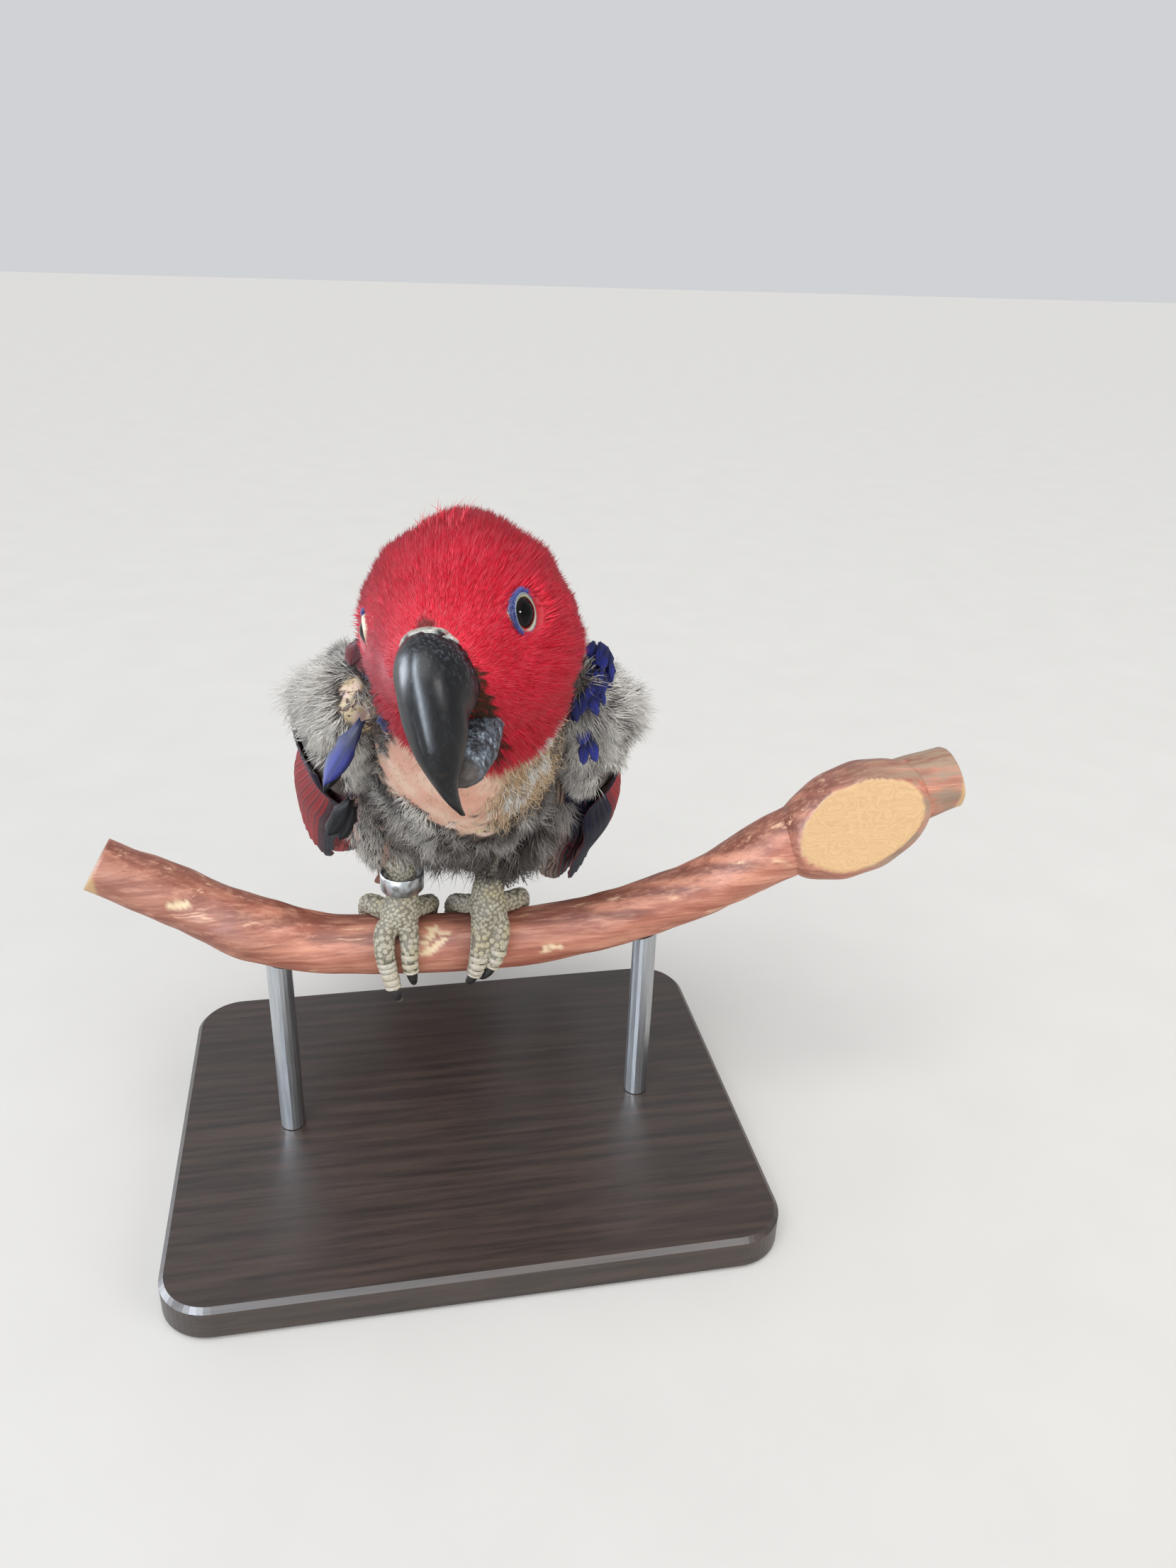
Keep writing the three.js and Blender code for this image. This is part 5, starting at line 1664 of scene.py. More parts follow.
violet_finish = finish("violet feather", violet_recipe, Specular_IOR_Level=0.35)
for side in (1, -1):
    center, out, fore, up = eye_frame(side)
    draw = np.random.default_rng(120 + side)
    a = draw.uniform(0, 2 * np.pi, EYE_RING_STRANDS)[:, None]
    ring = draw.uniform(4.7, 5.3, EYE_RING_STRANDS)[:, None]
    away = np.cos(a) * fore + np.sin(a) * up
    grown = (side > 0) | (np.cos(a) < 0.3)
    roots = center + ring * eye_oval(ring, np.cos(a)) * away
    roots += out * (np.interp(ring, LID[:8, 0], LID[:8, 1]) - 0.2)
    heading = unit(away * 0.8 + 0.45 * out - 0.25 * fore + 0.12 * draw.normal(size=(EYE_RING_STRANDS, 3)))
    length = draw.uniform(0.7, 1.3, (EYE_RING_STRANDS, 1)) * lerp(0.15, 1, grown)
    line = np.stack([roots, roots + heading * length], 1)
    turned = unit(np.cross(heading, out))
    width = draw.uniform(0.2, 0.34, (EYE_RING_STRANDS, 1))
    mesh = coat_mesh(f"eye_ring_{SIDE_NAME[side]}", line, turned, np.cross(turned, heading), width,
                     around_head, luck=draw.random(EYE_RING_STRANDS))
    add_piece(mesh.name, mesh, violet_finish, ["head"])

# %% [markdown]
# ## Scales, claws and ring
# A parrot's foot has wide plates across the top of each toe, each overlapping the next, and small
# rounded scales on the sides, the sole and up the shank. They are real plates set on the skin: a
# row of bent plates along the toe, and low domes in staggered rings elsewhere. The claws are
# short dark hooks, and the right shank wears a plain closed metal ring.

# %% Plates across the toes
PLATE_STEP = 1.45  # from one plate to the next
PLATE_DEPTH = 0.75  # how far a plate's underside lies in the toe
SHINGLE = np.array([-0.2, 0.2, 0.34, 0.36, 0.05])  # a plate's height from its root to its end


def between(place, values):
    """Rows of values at places from 0 to 1 along them."""
    even = np.linspace(0, 1, len(values))
    return np.column_stack([np.interp(place, even, part) for part in values.T])


def toe_plates(key):
    """Bent plates across the outer third of a toe, as points of their tops and their undersides."""
    length = np.linalg.norm(np.diff(toe_lines[key][0], axis=0), axis=1).sum()
    count = int(length * 0.88 / PLATE_STEP)
    line, radius = toe_path(key, 120)
    _, above, side = tube_frames(line, unit(line - branch_middle(line[:, 0])))
    rows = np.linspace(-0.62, 0.62, 5)
    a = np.radians(np.linspace(-68, 68, 11))
    round_off = 0.22 * np.abs(a / a.max())[None] ** 3
    bow = 0.12 * np.cos(a / a.max() * np.pi / 2)[None] * rows[:, None]
    draw = np.random.default_rng(200 + 10 * key[1] + key[0])
    tops, unders = [], []
    for middle in np.linspace(0.66, 0.97, max(int(count * 0.31 / 0.83), 3)):
        place = np.clip(middle + rows * PLATE_STEP * draw.uniform(0.92, 1.06) / length, 0, 1)
        at, size = between(place, line)[:, None], between(place, radius[:, None])
        high = size + SHINGLE[:, None] - round_off + bow + draw.uniform(-0.05, 0.05)
        ring = (np.cos(a)[None, :, None] * between(place, above)[:, None]
                + np.sin(a)[None, :, None] * between(place, side)[:, None])
        tops.append(at + high[..., None] * ring)
        unders.append(at + (size[..., None] - PLATE_DEPTH) * ring)
    return np.stack(tops), np.stack(unders)


plate_sets = [toe_plates(key) for key in TOES]
tops, unders = (np.concatenate(part) for part in zip(*plate_sets))
plate_points, plate_faces = plates(tops, unders)
plate_mesh = mesh_of("toe_plates", plate_points, plate_faces)
set_fields(plate_mesh, along=both_sides(np.linspace(-1, 1, tops.shape[1])[:, None], tops.shape[:3]))
print("plates across the toes:", len(tops))

# %% Finish of the plates
def scale_recipe(place):
    along, grime = place["along"], place.noise(0.8, 4, 0.7)
    base = grime.rise(0.3, 0.7).mix((160, 152, 136), (200, 194, 180))
    base = place.noise(6, 2).rise(0.4, 0.7).mix(base, (178, 166, 140))
    base = (along.rise(0.35, 0.9) * 0.75).mix(base, (222, 218, 202))
    # Painted shade: each plate darkens at its root, where it lies under the plate before it
    base = along.rise(-0.55, -0.95).mix(base, (84, 76, 62))
    return look(base, grime * 0.25 + 0.5, grime.bump(0.12, 0.7))


scale_finish = finish("toe plates", scale_recipe, Specular_IOR_Level=0.4)
add_piece("toe_plates", plate_mesh, scale_finish,
          [f"toe_{SIDE_NAME[side]}_{number}" for side, number in TOES])

# %% Spacing of small scales
def spread_out(points, spacing):
    """Numbers of points that stay at least their spacing apart, taken in turn."""
    kept, cells = [], {}
    for i, (point, gap) in enumerate(zip(points, spacing)):
        cell = tuple((point // 2).astype(int))
        near = [k for x in (-1, 0, 1) for y in (-1, 0, 1) for z in (-1, 0, 1)
                for k in cells.get((cell[0] + x, cell[1] + y, cell[2] + z), ())]
        if not near or (np.linalg.norm(points[near] - point, axis=1) > gap).all():
            kept.append(i)
            cells.setdefault(cell, []).append(i)
    return np.array(kept)


def top_of_toe(points):
    """1 on the outer side of the toes, away from the branch, and 0 on soles, palms and shanks."""
    top = np.zeros(len(points))
    for line, radius in toe_lines.values():
        away = points[:, None] - line[None]
        gap = np.linalg.norm(away, axis=-1)
        nearest = gap.argmin(1)
        outward = unit(line - branch_middle(line[:, 0]))[nearest]
        picked = away[np.arange(len(points)), nearest]
        facing = (unit(picked) * outward).sum(1) * ease(nearest / len(line), 0.05, 0.25)
        top = np.maximum(top, ease(facing, 0.1, 0.6) * (gap.min(1) < radius[nearest] + 0.6))
    return top


row_of_points = np.arange(5)[:, None] * np.eye(1, 3)
print("of five points 1 apart, 1.5 apart are", spread_out(row_of_points, [1.5] * 5))

# %% Small scales
centers, normals, draw = plant(24000, skin["foot"], 230)
spacing = lerp(1.12, 1.62, top_of_toe(centers)) * draw.uniform(0.92, 1.1, len(centers))
kept = spread_out(centers, spacing)
centers, normals, spacing = centers[kept], normals[kept], spacing[kept]
forwards = unit(np.cross(normals, [1.0, 0.1, 0]))
beside = np.cross(normals, forwards)
CORNERS = 7
corner_angle = (np.arange(CORNERS) / CORNERS * 2 * np.pi)[None] + draw.uniform(0, 1, (len(centers), 1))
size = 0.74 * spacing[:, None] * draw.uniform(0.88, 1.08, (len(centers), CORNERS))
corner = ((size * np.cos(corner_angle))[..., None] * forwards[:, None]
          + (size * np.sin(corner_angle))[..., None] * beside[:, None])
high = 0.2 * spacing[:, None, None]
out = normals[:, None]
foot_of = centers[:, None] + corner - 0.45 * out
rim_of = centers[:, None] + 0.9 * corner + 0.35 * high * out
top_of = centers[:, None] + 0.62 * corner + high * out
peak = centers + 1.15 * high[:, 0] * normals
scale_points = np.concatenate([foot_of, rim_of, top_of, peak[:, None], (centers - 0.5 * normals)[:, None]], 1)
k = np.arange(CORNERS)
after = (k + 1) % CORNERS
wall = np.stack([k, after, after + CORNERS, k + CORNERS], -1)
walls = np.concatenate([wall, wall + CORNERS])
caps = np.concatenate([np.stack([k + 2 * CORNERS, after + 2 * CORNERS, np.full(CORNERS, 3 * CORNERS)], -1),
                       np.stack([after, k, np.full(CORNERS, 3 * CORNERS + 1)], -1)])
step = (np.arange(len(centers)) * (3 * CORNERS + 2))[:, None, None]
small_mesh = mesh_of("small_scales", scale_points.reshape(-1, 3),
                     [(caps + step).reshape(-1, 3), (walls + step).reshape(-1, 4)])
rim = np.array([1.0] * CORNERS + [0.6] * CORNERS + [0.1] * CORNERS + [0.0, 1.0])
set_fields(small_mesh, rim=np.tile(rim, len(centers)))
print("small scales:", len(centers))

# %% Finish of the small scales
def small_scale_recipe(place):
    rim = place["rim"]
    grime = place.noise(1.1, 4, 0.7)
    base = grime.rise(0.3, 0.7).mix((146, 138, 118), (186, 180, 162))
    stain = place.noise(9, 2).rise(0.5, 0.7)
    base = (stain * 0.5).mix(base, (172, 160, 112))
    # Painted shade: each scale darkens towards its foot, in the crevices between the scales
    base = rim.rise(0.35, 0.9).mix(base, (104, 94, 78))
    return look(base, grime * 0.25 + 0.55, grime.bump(0.1, 0.6))


small_finish = finish("small scales", small_scale_recipe, Specular_IOR_Level=0.35)
add_piece("small_scales", small_mesh, small_finish,
          [f"shank_{name}" for name in ("left", "right")])

# %% Claws
CLAW_LINE = ((-0.9, -0.3), (1.4, 0.0), (3.2, 0.2), (6.4, 1.7), (9.0, 4.4))  # ahead, bent inward
CLAW_RADIUS = (2.05, 2.1, 1.85, 1.25, 0.3)


def claw_rings(key):
    line, _ = toe_lines[key]
    end = line[-1]
    ahead = unit(end - line[-4])
    inward = unit(np.array([0, 1, 1]) * (branch_middle(end[0]) - end))
    stops = [end + far * ahead + bend * inward for far, bend in CLAW_LINE]
    path = smooth_line(np.column_stack([stops, CLAW_RADIUS]), 26)
    middle, radius = path[:, :3], path[:, 3]
    _, above, side = tube_frames(middle, -inward)
    a = circle(22)
    keel = 1 - 0.14 * np.cos(a + np.pi).clip(0, 1)
    ring = (np.cos(a)[None, :, None] * above[:, None] * keel[None, :, None]
            + 0.86 * np.sin(a)[None, :, None] * side[:, None])
    return middle[:, None] + radius[:, None, None] * ring


def claw_recipe(place):
    grain = place.stretch(1, 1, 0.3).noise(0.8, 4, 0.7)
    share = place["share"]
    base = grain.mix((22, 21, 22), (52, 48, 46))
    base = (place["pale"] * share.rise(0.6, 0.85)).mix(base, (196, 180, 158))
    base = share.rise(0.14, 0.0).mix(base, (78, 70, 60))
    return look(base, grain * 0.25 + 0.25, grain.bump(0.08, 0.5))


claw_finish = finish("claw", claw_recipe, Specular_IOR_Level=0.5)
for key in TOES:
    rings = claw_rings(key)
    points, faces = skin_of(rings)
    label = f"claw_{SIDE_NAME[key[0]]}_{key[1]}"
    claw = mesh_of(label + "_hook", points, faces)
    share = np.broadcast_to(np.linspace(0, 1, len(rings))[:, None], rings.shape[:2])
    set_fields(claw, share=closed_fields(share), pale=np.full(len(points), float(key == (-1, 3))))
    add_piece(claw.name, claw, claw_finish, [label])

# %% Leg ring
BAND = {"inner": 5.8, "outer": 6.8, "height": 6.2, "tilt": 96, "bevel": 0.25}
BAND_AT = over_perch([-18.3, -3.3, 27.3])


def band_mesh():
    high, bevel, inner, outer = BAND["height"] / 2, BAND["bevel"], BAND["inner"], BAND["outer"]
    corners = np.array([
        [inner, bevel - high], [inner, high - bevel], [inner + bevel, high], [outer - bevel, high],
        [outer, high - bevel], [outer, bevel - high], [outer - bevel, -high], [inner + bevel, -high],
    ])
    halves = (corners + np.roll(corners, -1, 0)) / 2
    profile = np.stack([corners, halves], 1).reshape(-1, 2)
    a = circle(96)[:, None]
    turn = np.array(Matrix.Rotation(math.radians(BAND["tilt"]), 3, "X"))
    reach = profile[:, 0] * (1 + 0.006 * np.sin(3 * a + 1))
    grid = BAND_AT + np.stack([np.cos(a) * reach, profile[:, 1] + 0 * reach, np.sin(a) * reach], -1) @ turn.T
    quads = np.roll(wrapped_faces(*grid.shape[:2])[:, ::-1], 1, 1)
    return mesh_of("leg_ring", grid.reshape(-1, 3), [quads])


def band_recipe(place):
    fine = place.stretch(1, 1, 6).noise(1.2, 5, 0.8)
    tarnish = place.noise(3, 3).rise(0.45, 0.7)
    base = tarnish.mix((176, 178, 180), (112, 110, 104))
    return look(base, fine * 0.3 + 0.18, fine.bump(0.04, 0.5))


band_finish = finish("ring metal", band_recipe, Metallic=1.0)
add_piece("leg_ring", band_mesh(), band_finish, ["leg_band"])

# %% [markdown]
# ## Lone feathers
# Among the down stand the few coloured feathers that the hen has left: a violet-blue collar round
# the base of the hood, some blue and maroon ones on shoulders and back. Each is a small cupped
# plate with a rounded end. The collar and the back are drawn by a rule, and those that only the
# photograph places are found through their pixels.

# %% Small feathers
SMALL_ROWS, SMALL_COLUMNS = 9, 7


def small_feathers(name, roots, normals, ways, length, width, lift, finish, nodes, seed, curl=0.25):
    """Cupped plates that lie along ways, an array each of roots, sizes and lifts."""
    draw = np.random.default_rng(seed)
    count = len(roots)
    t = np.linspace(0, 1, SMALL_ROWS)[None, :, None]
    e = np.linspace(-1, 1, SMALL_COLUMNS)[None, None, :]
    round_off = np.sqrt(np.clip(1 - ((t - 0.62) / 0.38).clip(0, 1) ** 2, 0.004, 1))
    round_off = round_off * lerp(0.3, 1, ease(t, 0, 0.45))
    ragged = 1 + 0.1 * draw.normal(size=(count, SMALL_ROWS, SMALL_COLUMNS)) * (np.abs(e) > 0.6)
    side = np.cross(normals, ways)
    size, half = length[:, None, None], width[:, None, None] / 2
    across = half * round_off * e * ragged
    rise = size * (np.sin(lift[:, None, None] + 0 * t) * t - curl * t**2) - 0.35 * half * e**2
    quill = 0.18 * hump(e, 0.16) * (1 - 0.7 * t)
    back = size * 0.05 * e**2

    def place(height):
        return (roots[:, None, None] + (size * t - back)[..., None] * ways[:, None, None]
                + across[..., None] * side[:, None, None] + height[..., None] * normals[:, None, None])

    points, faces = plates(place(rise + quill + 0.12), place(rise - 0.06 - 0.3 * quill))
    mesh = mesh_of(name, points, faces)
    per = 2 * SMALL_ROWS * SMALL_COLUMNS
    along, web = (both_sides(values, rise.shape) for values in (t, e))
    set_fields(mesh, along=along, web=web, luck=np.repeat(draw.random(count), per))
    number = np.repeat(np.arange(count), per)
    grid = math.ceil(math.sqrt(count))
    below = np.tile(np.repeat([0.0, 0.5], per // 2), count)
    u = (number % grid + 0.05 + 0.2 * (web + 1) + below) / grid
    v = (number // grid + 0.08 + 0.8 * along) / grid
    set_unwrap(mesh, np.stack([u, v], -1))
    return add_piece(name, mesh, finish, nodes)


print("a small feather has", 2 * SMALL_ROWS * SMALL_COLUMNS, "points")

# %% Blue and maroon finishes
def blue_recipe(place):
    web, along, luck = place["web"], place["along"], place["luck"]
    lines = barb_bump(place)
    base = luck.rise(0.0, 1.0).mix((13, 15, 62), (24, 34, 128))
    base = along.rise(0.62, 0.25).mix(base, (20, 20, 30))
    base = abs(web).rise(0.65, 0.95).mix(base, (18, 20, 44))
    base = (lines * 0.35).mix(base, (40, 58, 164))
    base = ((1 - abs(web).rise(0.05, 0.2)) * 0.5).mix(base, (24, 26, 60))
    return look(base, lines * 0.15 + 0.46, lines.bump(0.1, 0.6))


def maroon_recipe(place):
    along, luck = place["along"], place["luck"]
    lines = barb_bump(place)
    base = luck.mix((62, 14, 20), (104, 20, 28))
    base = along.rise(0.5, 0.1).mix(base, (36, 26, 30))
    base = (lines * 0.35).mix(base, (168, 40, 46))
    return look(base, lines * 0.15 + 0.42, lines.bump(0.1, 0.6))


blue_finish = finish("blue feather", blue_recipe, Specular_IOR_Level=0.4)
maroon_finish = finish("maroon feather", maroon_recipe, Specular_IOR_Level=0.35)
print("finishes:", blue_finish.name, "and", maroon_finish.name)

# %% Feathers between two pixels
def ray_place(x, y, depth):
    """The place under a pixel at a depth along the camera's axis."""
    ray = AHEAD + (x - PHOTO[0] / 2) / FOCAL * RIGHT + (PHOTO[1] / 2 - y) / FOCAL * UPWARD
    return CAMERA_AT + ray * depth


skin_pixels, skin_depths = pixels_of(skin_points), (skin_points - CAMERA_AT) @ AHEAD


def depth_at(x, y):
    """How far from the camera the skin is under a pixel, or at the skin's rim beside it."""
    away = np.linalg.norm(skin_pixels - [x, y], axis=1)
    return float(skin_depths[away < away.min() + 6].min())


def feathers_between(name, rows, finish, nodes, seed, lift=0.25, curl=0.25):
    """Each row: root and tip pixel, width, a pixel that gives the depth, and how far before it."""
    roots, tips, widths = [], [], []
    for x0, y0, x1, y1, wide, near, ahead in rows:
        depth = depth_at(*near) - ahead
        roots.append(ray_place(x0, y0, depth))
        tips.append(ray_place(x1, y1, depth - 0.5))
        widths.append(wide)
    roots, tips = np.array(roots), np.array(tips)
    ways, lengths = unit(tips - roots), np.linalg.norm(tips - roots, axis=1)
    normals = unit(CAMERA_AT - roots)
    normals = unit(normals - dot(normals, ways) * ways)
    return small_feathers(name, roots, normals, ways, lengths, np.array(widths), np.full(len(rows), lift),
                          finish, nodes, seed, curl)


print("the skin is", skin_depths.min().round(), "to", skin_depths.max().round(), "mm before the camera")

# %% Lone feathers of the shoulders
# Pixels of the chain of small blue feathers that runs down the left shoulder
CHAIN = ((838, 912), (848, 915), (856, 926), (860, 938), (843, 930), (850, 948), (838, 946), (856, 960),
         (845, 962), (834, 966), (850, 974), (842, 982), (833, 986), (824, 988), (816, 996), (809, 1003))
# Pixels of down and skin whose depth the feathers near them take
LEFT_SHOULDER, LEFT_ARM, RIGHT_CHEST = (846, 934), (829, 1050), (540, 1020)
RIGHT_SHOULDER, RIGHT_ARM, RIGHT_FLANK = (505, 960), (480, 1050), (540, 1150)
draw = np.random.default_rng(150)
chain = []
for i, (x, y) in enumerate(CHAIN * 3):
    chain.append((x + draw.normal(0, 3), y - 8 + draw.normal(0, 4), x + draw.uniform(-12, 10),
                  y + draw.uniform(10, 26), draw.uniform(1.3, 2.9), LEFT_SHOULDER, 3.5 + 0.1 * i))
BLUE_FEATHERS = [
    (832, 1012, 819, 1052, 4.0, LEFT_ARM, 5.0), (833, 1036, 841, 1076, 3.0, LEFT_ARM, 5.0),
    (824, 1044, 823, 1080, 3.0, LEFT_ARM, 5.0), (542, 1006, 539, 1024, 3.0, RIGHT_CHEST, 4.0),
    (547, 1016, 545, 1034, 2.6, RIGHT_CHEST, 4.0), (512, 913, 524, 928, 3.0, RIGHT_SHOULDER, 3.0),
]
feathers_between("shoulder_blue_feathers", chain + BLUE_FEATHERS, blue_finish, ["torso"], 151)
MAROON_FEATHERS = [
    (505, 902, 494, 940, 4.6, RIGHT_SHOULDER, 3.0), (514, 926, 512, 950, 3.6, RIGHT_SHOULDER, 3.0),
]
feathers_between("shoulder_maroon_feathers", MAROON_FEATHERS, maroon_finish, ["torso"], 152)

# %% Lone feathers on the right wing
def dark_recipe(place):
    web, luck = place["web"], place["luck"]
    lines = barb_bump(place)
    base = luck.mix((10, 10, 12), (22, 19, 20))
    base = (abs(web).rise(0.75, 0.95) * 0.6).mix(base, (84, 74, 68))
    return look(base, lines * 0.15 + 0.4, lines.bump(0.1, 0.6))


dark_finish = finish("dark feather", dark_recipe, Specular_IOR_Level=0.15)
BLUE_ON_WING = [
    (510, 1018, 456, 1110, 5.4, RIGHT_ARM, 9.0), (500, 1026, 464, 1092, 3.6, RIGHT_ARM, 8.0),
]
feathers_between("wing_blue_feather", BLUE_ON_WING, blue_finish, ["wing_right"], 153, 0.1, 0.08)
DARK_ON_WING = [
    (494, 1128, 462, 1180, 5.5, RIGHT_FLANK, 9.0), (500, 1138, 478, 1186, 5.0, RIGHT_FLANK, 8.0),
    (496, 1030, 456, 1120, 5, RIGHT_ARM, 7.0),
]
feathers_between("wing_dark_feathers", DARK_ON_WING, dark_finish, ["wing_right"], 154, 0.15, 0.2)

# %% Collar and back
collar = ease(skin["s"], HOOD_EDGE - 5, HOOD_EDGE - 2) * ease(skin["s"], HOOD_EDGE + 13, HOOD_EDGE + 7)
collar = collar * ease(np.abs(skin["around"]), 84, 100) * (1 - skin["arm"])
collar = collar * ease(skin_points[:, 2], 210, 204)


def strewn_feathers(name, count, density, seed, length, width, lift, finish, nodes):
    """Small feathers drawn over part of the skin. length and width are each a range."""
    roots, normals, draw = plant(count, density, seed)
    ways = lie(roots, normals)
    small_feathers(name, roots, normals, ways, draw.uniform(*length, count), draw.uniform(*width, count),
                   draw.normal(lift, 0.1, count), finish, nodes, seed + 1)


strewn_feathers("collar_feathers", 150, collar, 140, (7, 10), (4.5, 6.5), 0.42, blue_finish,
                ["torso", "neck"])
back = ease(skin["s"], 6, 18) * ease(skin["s"], 100, 84) * (np.abs(skin["around"]) > 108) * (1 - skin["arm"])
strewn_feathers("back_feathers", 70, back, 142, (9, 13), (5.5, 8), 0.55, maroon_finish, ["torso"])

# %% [markdown]
# ## Branch
# The perch is a peeled hardwood branch, worn smooth: reddish brown with long pale streaks where
# the bark came off, a few bitten chips near the feet, and a side shoot sawn off flat, whose face
# shows pale rings. A loft follows the same line as the solid, just inside it, and the
# shoot is a fine ball cut flat by pressing its points back to the saw's plane.

# %% Branch form
STUB = {"at": over_perch([130, -3, 38]), "along": 28, "up": 18.5, "out": 17, "slope": 24, "face": 11.2}
SAW = unit(np.array([-0.12, -0.96, 0.25]))
CHIPS = ((-9, 30, 1.3), (-6.5, 40, 1.1), (-10, 46, 1.2), (-8, 60, 1.0), (-11, 72, 1.6), (-5, 52, 0.8),
         (-12, 58, 0.7), (29, 88, 1.6), (27, 96, 1.0), (-84, 70, 2.0))  # place along, angle, radius


def branch_rings(count=260, sides=64, under=0.12):
    line = smooth_line(BRANCH_ROWS, count)
    middle, radius = over_perch(line[:, :3]), line[:, 3] - under
    ahead = unit(np.gradient(middle, axis=0))
    up = unit(np.stack([-ahead[:, 2], 0 * radius, ahead[:, 0]], -1))
    back = np.cross(ahead, up)
    a = circle(sides)
    way = np.cos(a)[None, :, None] * up[:, None] + np.sin(a)[None, :, None] * back[:, None]
    return middle, radius, way


middle, radius, way = branch_rings()
surface = middle[:, None] + radius[:, None, None] * way
away_from_feet = ease(np.abs(surface[..., 0] + 3), 24, 40)
lumps = 0.3 * wander(surface, 26, 41) + 0.14 * wander(surface * [0.35, 1, 1], 5, 42)
dents = np.zeros(surface.shape[:2])
for x, angle, size in CHIPS:
    turn = math.radians(angle)
    spot = branch_middle(float(x)) + PERCH_RADIUS * np.array([0, -math.sin(turn), math.cos(turn)])
    far = np.linalg.norm((surface - spot) * [0.5, 1, 1], axis=-1) + 0.5 * wander(surface, 2.4, 43)
    dents = np.maximum(dents, ease(far, size, size * 0.5))
surface = surface + ((lumps - 0.45) * away_from_feet - 0.35 * dents)[..., None] * way
branch_points, branch_faces = skin_of(surface)
print("chips in the branch:", len(CHIPS))

# %% Stub
polar = np.linspace(0.03, np.pi - 0.03, 60)[:, None]
turn = circle(90)[None]
slope = math.radians(STUB["slope"])
lengthwise = np.array([math.cos(slope), 0, math.sin(slope)])
upright = np.array([-math.sin(slope), 0, math.cos(slope)])
ball = (STUB["at"] + (STUB["up"] * np.cos(polar) + 0 * turn)[..., None] * upright
        + (STUB["along"] * np.sin(polar) * np.cos(turn))[..., None] * lengthwise
        - (STUB["out"] * np.sin(polar) * np.sin(turn))[..., None] * np.array([0, 1.0, 0]))
ball = ball + 0.25 * wander(ball, 9, 44)[..., None] * unit(ball - STUB["at"])
beyond = (ball - STUB["at"]) @ SAW - STUB["face"]
sawn = ease(beyond, -0.15, 0.1)
ball = ball - np.maximum(beyond, 0)[..., None] * SAW
ball_points, ball_faces = skin_of(ball)
points, faces = join_sets([(branch_points, branch_faces), (ball_points, ball_faces)])
wood_mesh = mesh_of("branch_wood", points, faces)
# Painted shade: the branch's top, and its left end, are painted darker
upward = unit(points - branch_middle(points[:, 0]))[:, 2]
upward = (upward + 0.25 * wander(points * [0.2, 1, 1], 6, 45)).clip(-1, 1)
set_fields(
    wood_mesh,
    chip=np.concatenate([closed_fields(dents), 0 * ball_points[:, 0]]),
    sawn=np.concatenate([0 * branch_points[:, 0], closed_fields(sawn)]),
    shade=np.maximum(ease(upward, 0.62, 0.95), 0.6 * ease(points[:, 0], -45, -75)),
    grey=ease(points[:, 0], 112, 150),
    cut=ease(np.abs(points[:, 0] - 28), 135.0, 136.5),
)
print("branch:", len(points), "points")

# %% Branch finish
WOOD_RED = (206, 142, 116)
WOOD_DARK = (160, 94, 74)
WOOD_PALE = (232, 192, 158)


def wood_recipe(place):
    fibre = place.stretch(0.09, 1, 1).noise(1.6, 5, 0.65)
    streak = place.stretch(0.12, 1, 1).noise(5, 4, 0.6)
    base = streak.rise(0.35, 0.68).mix(WOOD_DARK, WOOD_RED)
    line = place.stretch(0.04, 1, 1).noise(0.9, 5, 0.75)
    base = (line.rise(0.52, 0.66) * 0.6).mix(base, (126, 72, 58))
    # Painted shade on the top and the left end of the branch
    base = (place["shade"] * 0.75).mix(base, (112, 62, 50))
    base = (fibre.rise(0.45, 0.75) * 0.55).mix(base, (222, 164, 138))
    warp = place.noise(14, 2, output=1).stretch(0.004, 0.004, 0.004)
    peeled = place.stretch(0.16, 1, 1).shift(warp).noise(6, 4, 0.7)
    base = (peeled.rise(0.6, 0.7) * 0.8).mix(base, WOOD_PALE)
    grey = streak.mix((128, 104, 88), (170, 146, 122))
    base = (place["grey"] * peeled.rise(0.35, 0.6)).mix(base, grey)
    base = place["chip"].mix(base, (226, 202, 164))
    rings = place.stretch(0.6, 1, 1).noise(9, 2) * 120
    rings = rings.maths("SINE", rings) * 0.5 + 0.5
    face = (rings * 0.35).mix((204, 168, 122), (182, 140, 96))
    base = place["sawn"].mix(base, face)
    base = place["cut"].mix(base, face)
    height = fibre * 0.6 + streak * 0.4
    return look(base, fibre * 0.2 + 0.42, height.bump(0.5, 0.6))


wood_finish = finish("branch wood", wood_recipe, Specular_IOR_Level=0.4)
add_piece("branch_wood", wood_mesh, wood_finish, ["perch_branch"])

# %% [markdown]
# ## Stand
# The base and rods are already right in the solids, so they only get a finish: a dark stained
# board with a fine grain, and brushed steel.

# %% Stand finish
def base_recipe(place):
    grain = place.stretch(0.06, 1, 1).noise(3, 5, 0.6)
    pores = place.stretch(0.05, 1, 1).noise(0.7, 3, 0.7)
    base = grain.rise(0.3, 0.7).mix((38, 30, 26), (64, 50, 42))
    base = (pores.rise(0.55, 0.7) * 0.5).mix(base, (26, 20, 18))
    return look(base, grain * 0.15 + 0.34, (grain + pores * 0.5).bump(0.12, 0.4))


def steel_recipe(place):
    brushed = place.stretch(1, 1, 0.05).noise(0.6, 4, 0.7)
    base = brushed.mix((150, 152, 154), (196, 198, 200))
    return look(base, brushed * 0.2 + 0.22, brushed.bump(0.03, 0.4))


base_finish = finish("stained board", base_recipe, Coat_Weight=0.15, Coat_Roughness=0.3)
steel_finish = finish("brushed steel", steel_recipe, Metallic=1.0)
STAND = {"stand_base": base_finish, "stand_rod_left": steel_finish, "stand_rod_right": steel_finish}
for name, material in STAND.items():
    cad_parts[name].data.materials.clear()
    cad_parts[name].data.materials.append(material)
print("finished:", list(STAND))

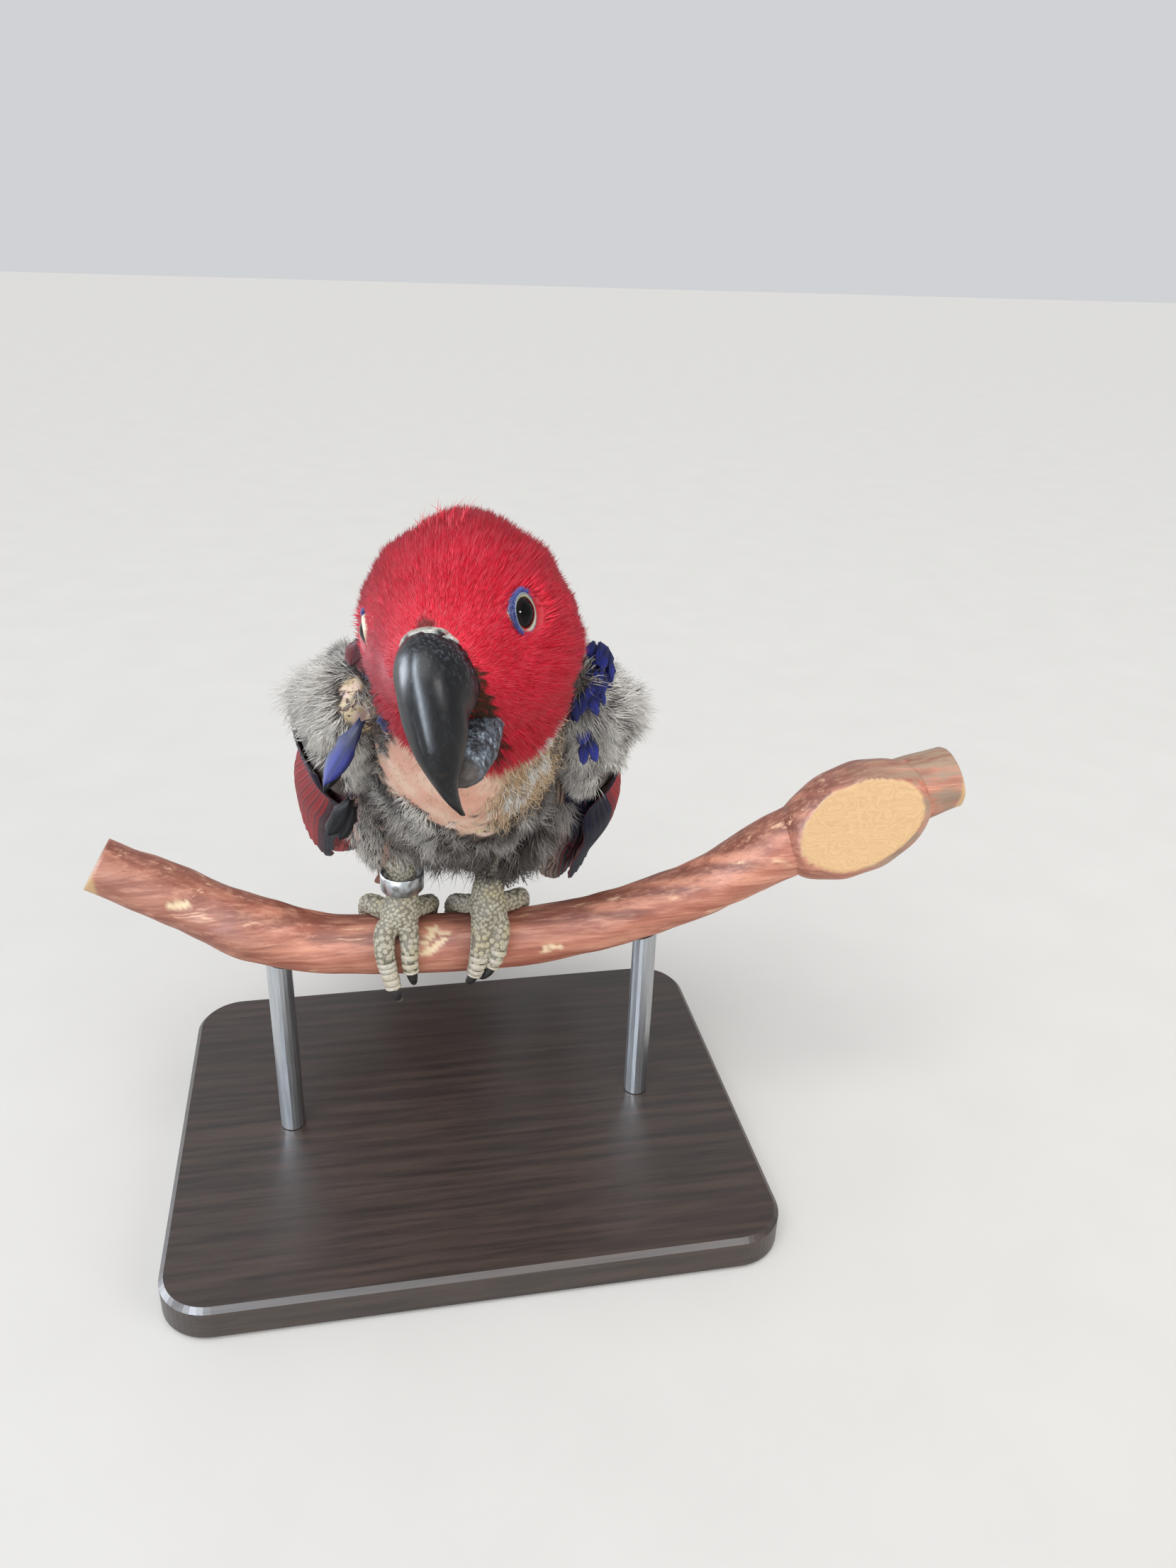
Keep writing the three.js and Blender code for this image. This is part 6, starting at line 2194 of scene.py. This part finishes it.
# %% [markdown]
# ## Floor and light
# A museum model stands on a plain pale floor under soft lamps. A large lamp from the upper left
# gives the long sheen down the bill, as in the photograph, and weaker ones fill the shadows.

# %% Lamps
def soft_lamp(name, at, toward, size, watts):
    lamp = bpy.data.objects.new(name, bpy.data.lights.new(name, "AREA"))
    bpy.context.collection.objects.link(lamp)
    lamp.data.shape, lamp.data.size, lamp.data.energy = "DISK", size, watts
    lamp.location = at
    lamp.rotation_euler = (Vector(toward) - Vector(at)).to_track_quat("-Z", "Y").to_euler()
    return lamp


middle = (0, 0, 0.15)
sky = bpy.data.objects.new("sky lamp", bpy.data.lights.new("sky lamp", "SUN"))
bpy.context.collection.objects.link(sky)
sky.data.energy, sky.data.angle = 2.3, math.radians(50)
sky.rotation_euler = (math.radians(30), math.radians(-14), 0)
soft_lamp("fill lamp", (0.9, -0.9, 0.6), middle, 0.8, 5.0).visible_glossy = False

# A long strip whose reflection runs down the bill's right side
strip_way, strip_long = unit(np.array([-0.62, -0.62, 0.42])), np.array([-0.1, 0.55, 0.72])
strip_long = unit(strip_long - dot(strip_long, strip_way) * strip_way)
strip = soft_lamp("strip lamp", (strip_way * 0.9 + [0, 0, 0.18]).tolist(), middle, 0.15, 36)
strip.data.shape, strip.data.size_y = "RECTANGLE", 1.3
strip.visible_diffuse = False
strip.data.color = (0.78, 0.88, 1.0)
strip_turn = Matrix([np.cross(strip_long, strip_way), strip_long, strip_way]).transposed()
strip.rotation_euler = strip_turn.to_euler()

# A broad cool panel at the far left for the pale sheen on the bill's right flank
panel = soft_lamp("panel lamp", (-0.95, 0.22, 0.36), (0, 0, 0.2), 0.6, 22)
panel.visible_diffuse, panel.data.color = False, (0.82, 0.9, 1.0)
print("strip lamp at", strip_way.round(2))

# %% Lamp that the left eye mirrors
# A small lamp where the left eye mirrors it into the camera, as the bright point in the photograph
GLINT = (733, 863)  # its pixel
center = eye_frame(1)[0]
view = unit(ray_place(*GLINT, 100) - CAMERA_AT)
near = (center - CAMERA_AT) @ view
spot = CAMERA_AT + view * (near - math.sqrt(EYE_SHOWN**2 - (((center - CAMERA_AT) ** 2).sum() - near**2)))
bounce = view - 2 * dot(view, unit(spot - center)) * unit(spot - center)
glint = soft_lamp("glint lamp", ((spot + 600 * bounce) * MM).tolist(), (spot * MM).tolist(), 0.09, 1.2)
glint.visible_diffuse = False

# %% World and floor
world = bpy.data.worlds.new("studio")
world.use_nodes = True
world.node_tree.nodes["Background"].inputs["Color"].default_value = (0.9, 0.92, 0.95, 1)
world.node_tree.nodes["Background"].inputs["Strength"].default_value = 0.7
bpy.context.scene.world = world
bpy.context.scene.view_settings.view_transform = "Standard"

floor_mesh = bpy.data.meshes.new("floor")
FLOOR = 6.0
floor_corners = [(-FLOOR, -FLOOR, 0), (FLOOR, -FLOOR, 0), (FLOOR, FLOOR, 0), (-FLOOR, FLOOR, 0)]
floor_mesh.from_pydata(floor_corners, [], [(0, 1, 2, 3)])
floor = bpy.data.objects.new("floor", floor_mesh)
bpy.context.collection.objects.link(floor)


def floor_recipe(place):
    grain = place.noise(40, 3)
    return look(grain.mix((198, 196, 192), (204, 202, 198)), grain * 0.1 + 0.7)


floor_mesh.materials.append(finish("floor", floor_recipe))
print("floor:", 2 * FLOOR, "m wide")

# %% The end
bpy.context.view_layer.update()
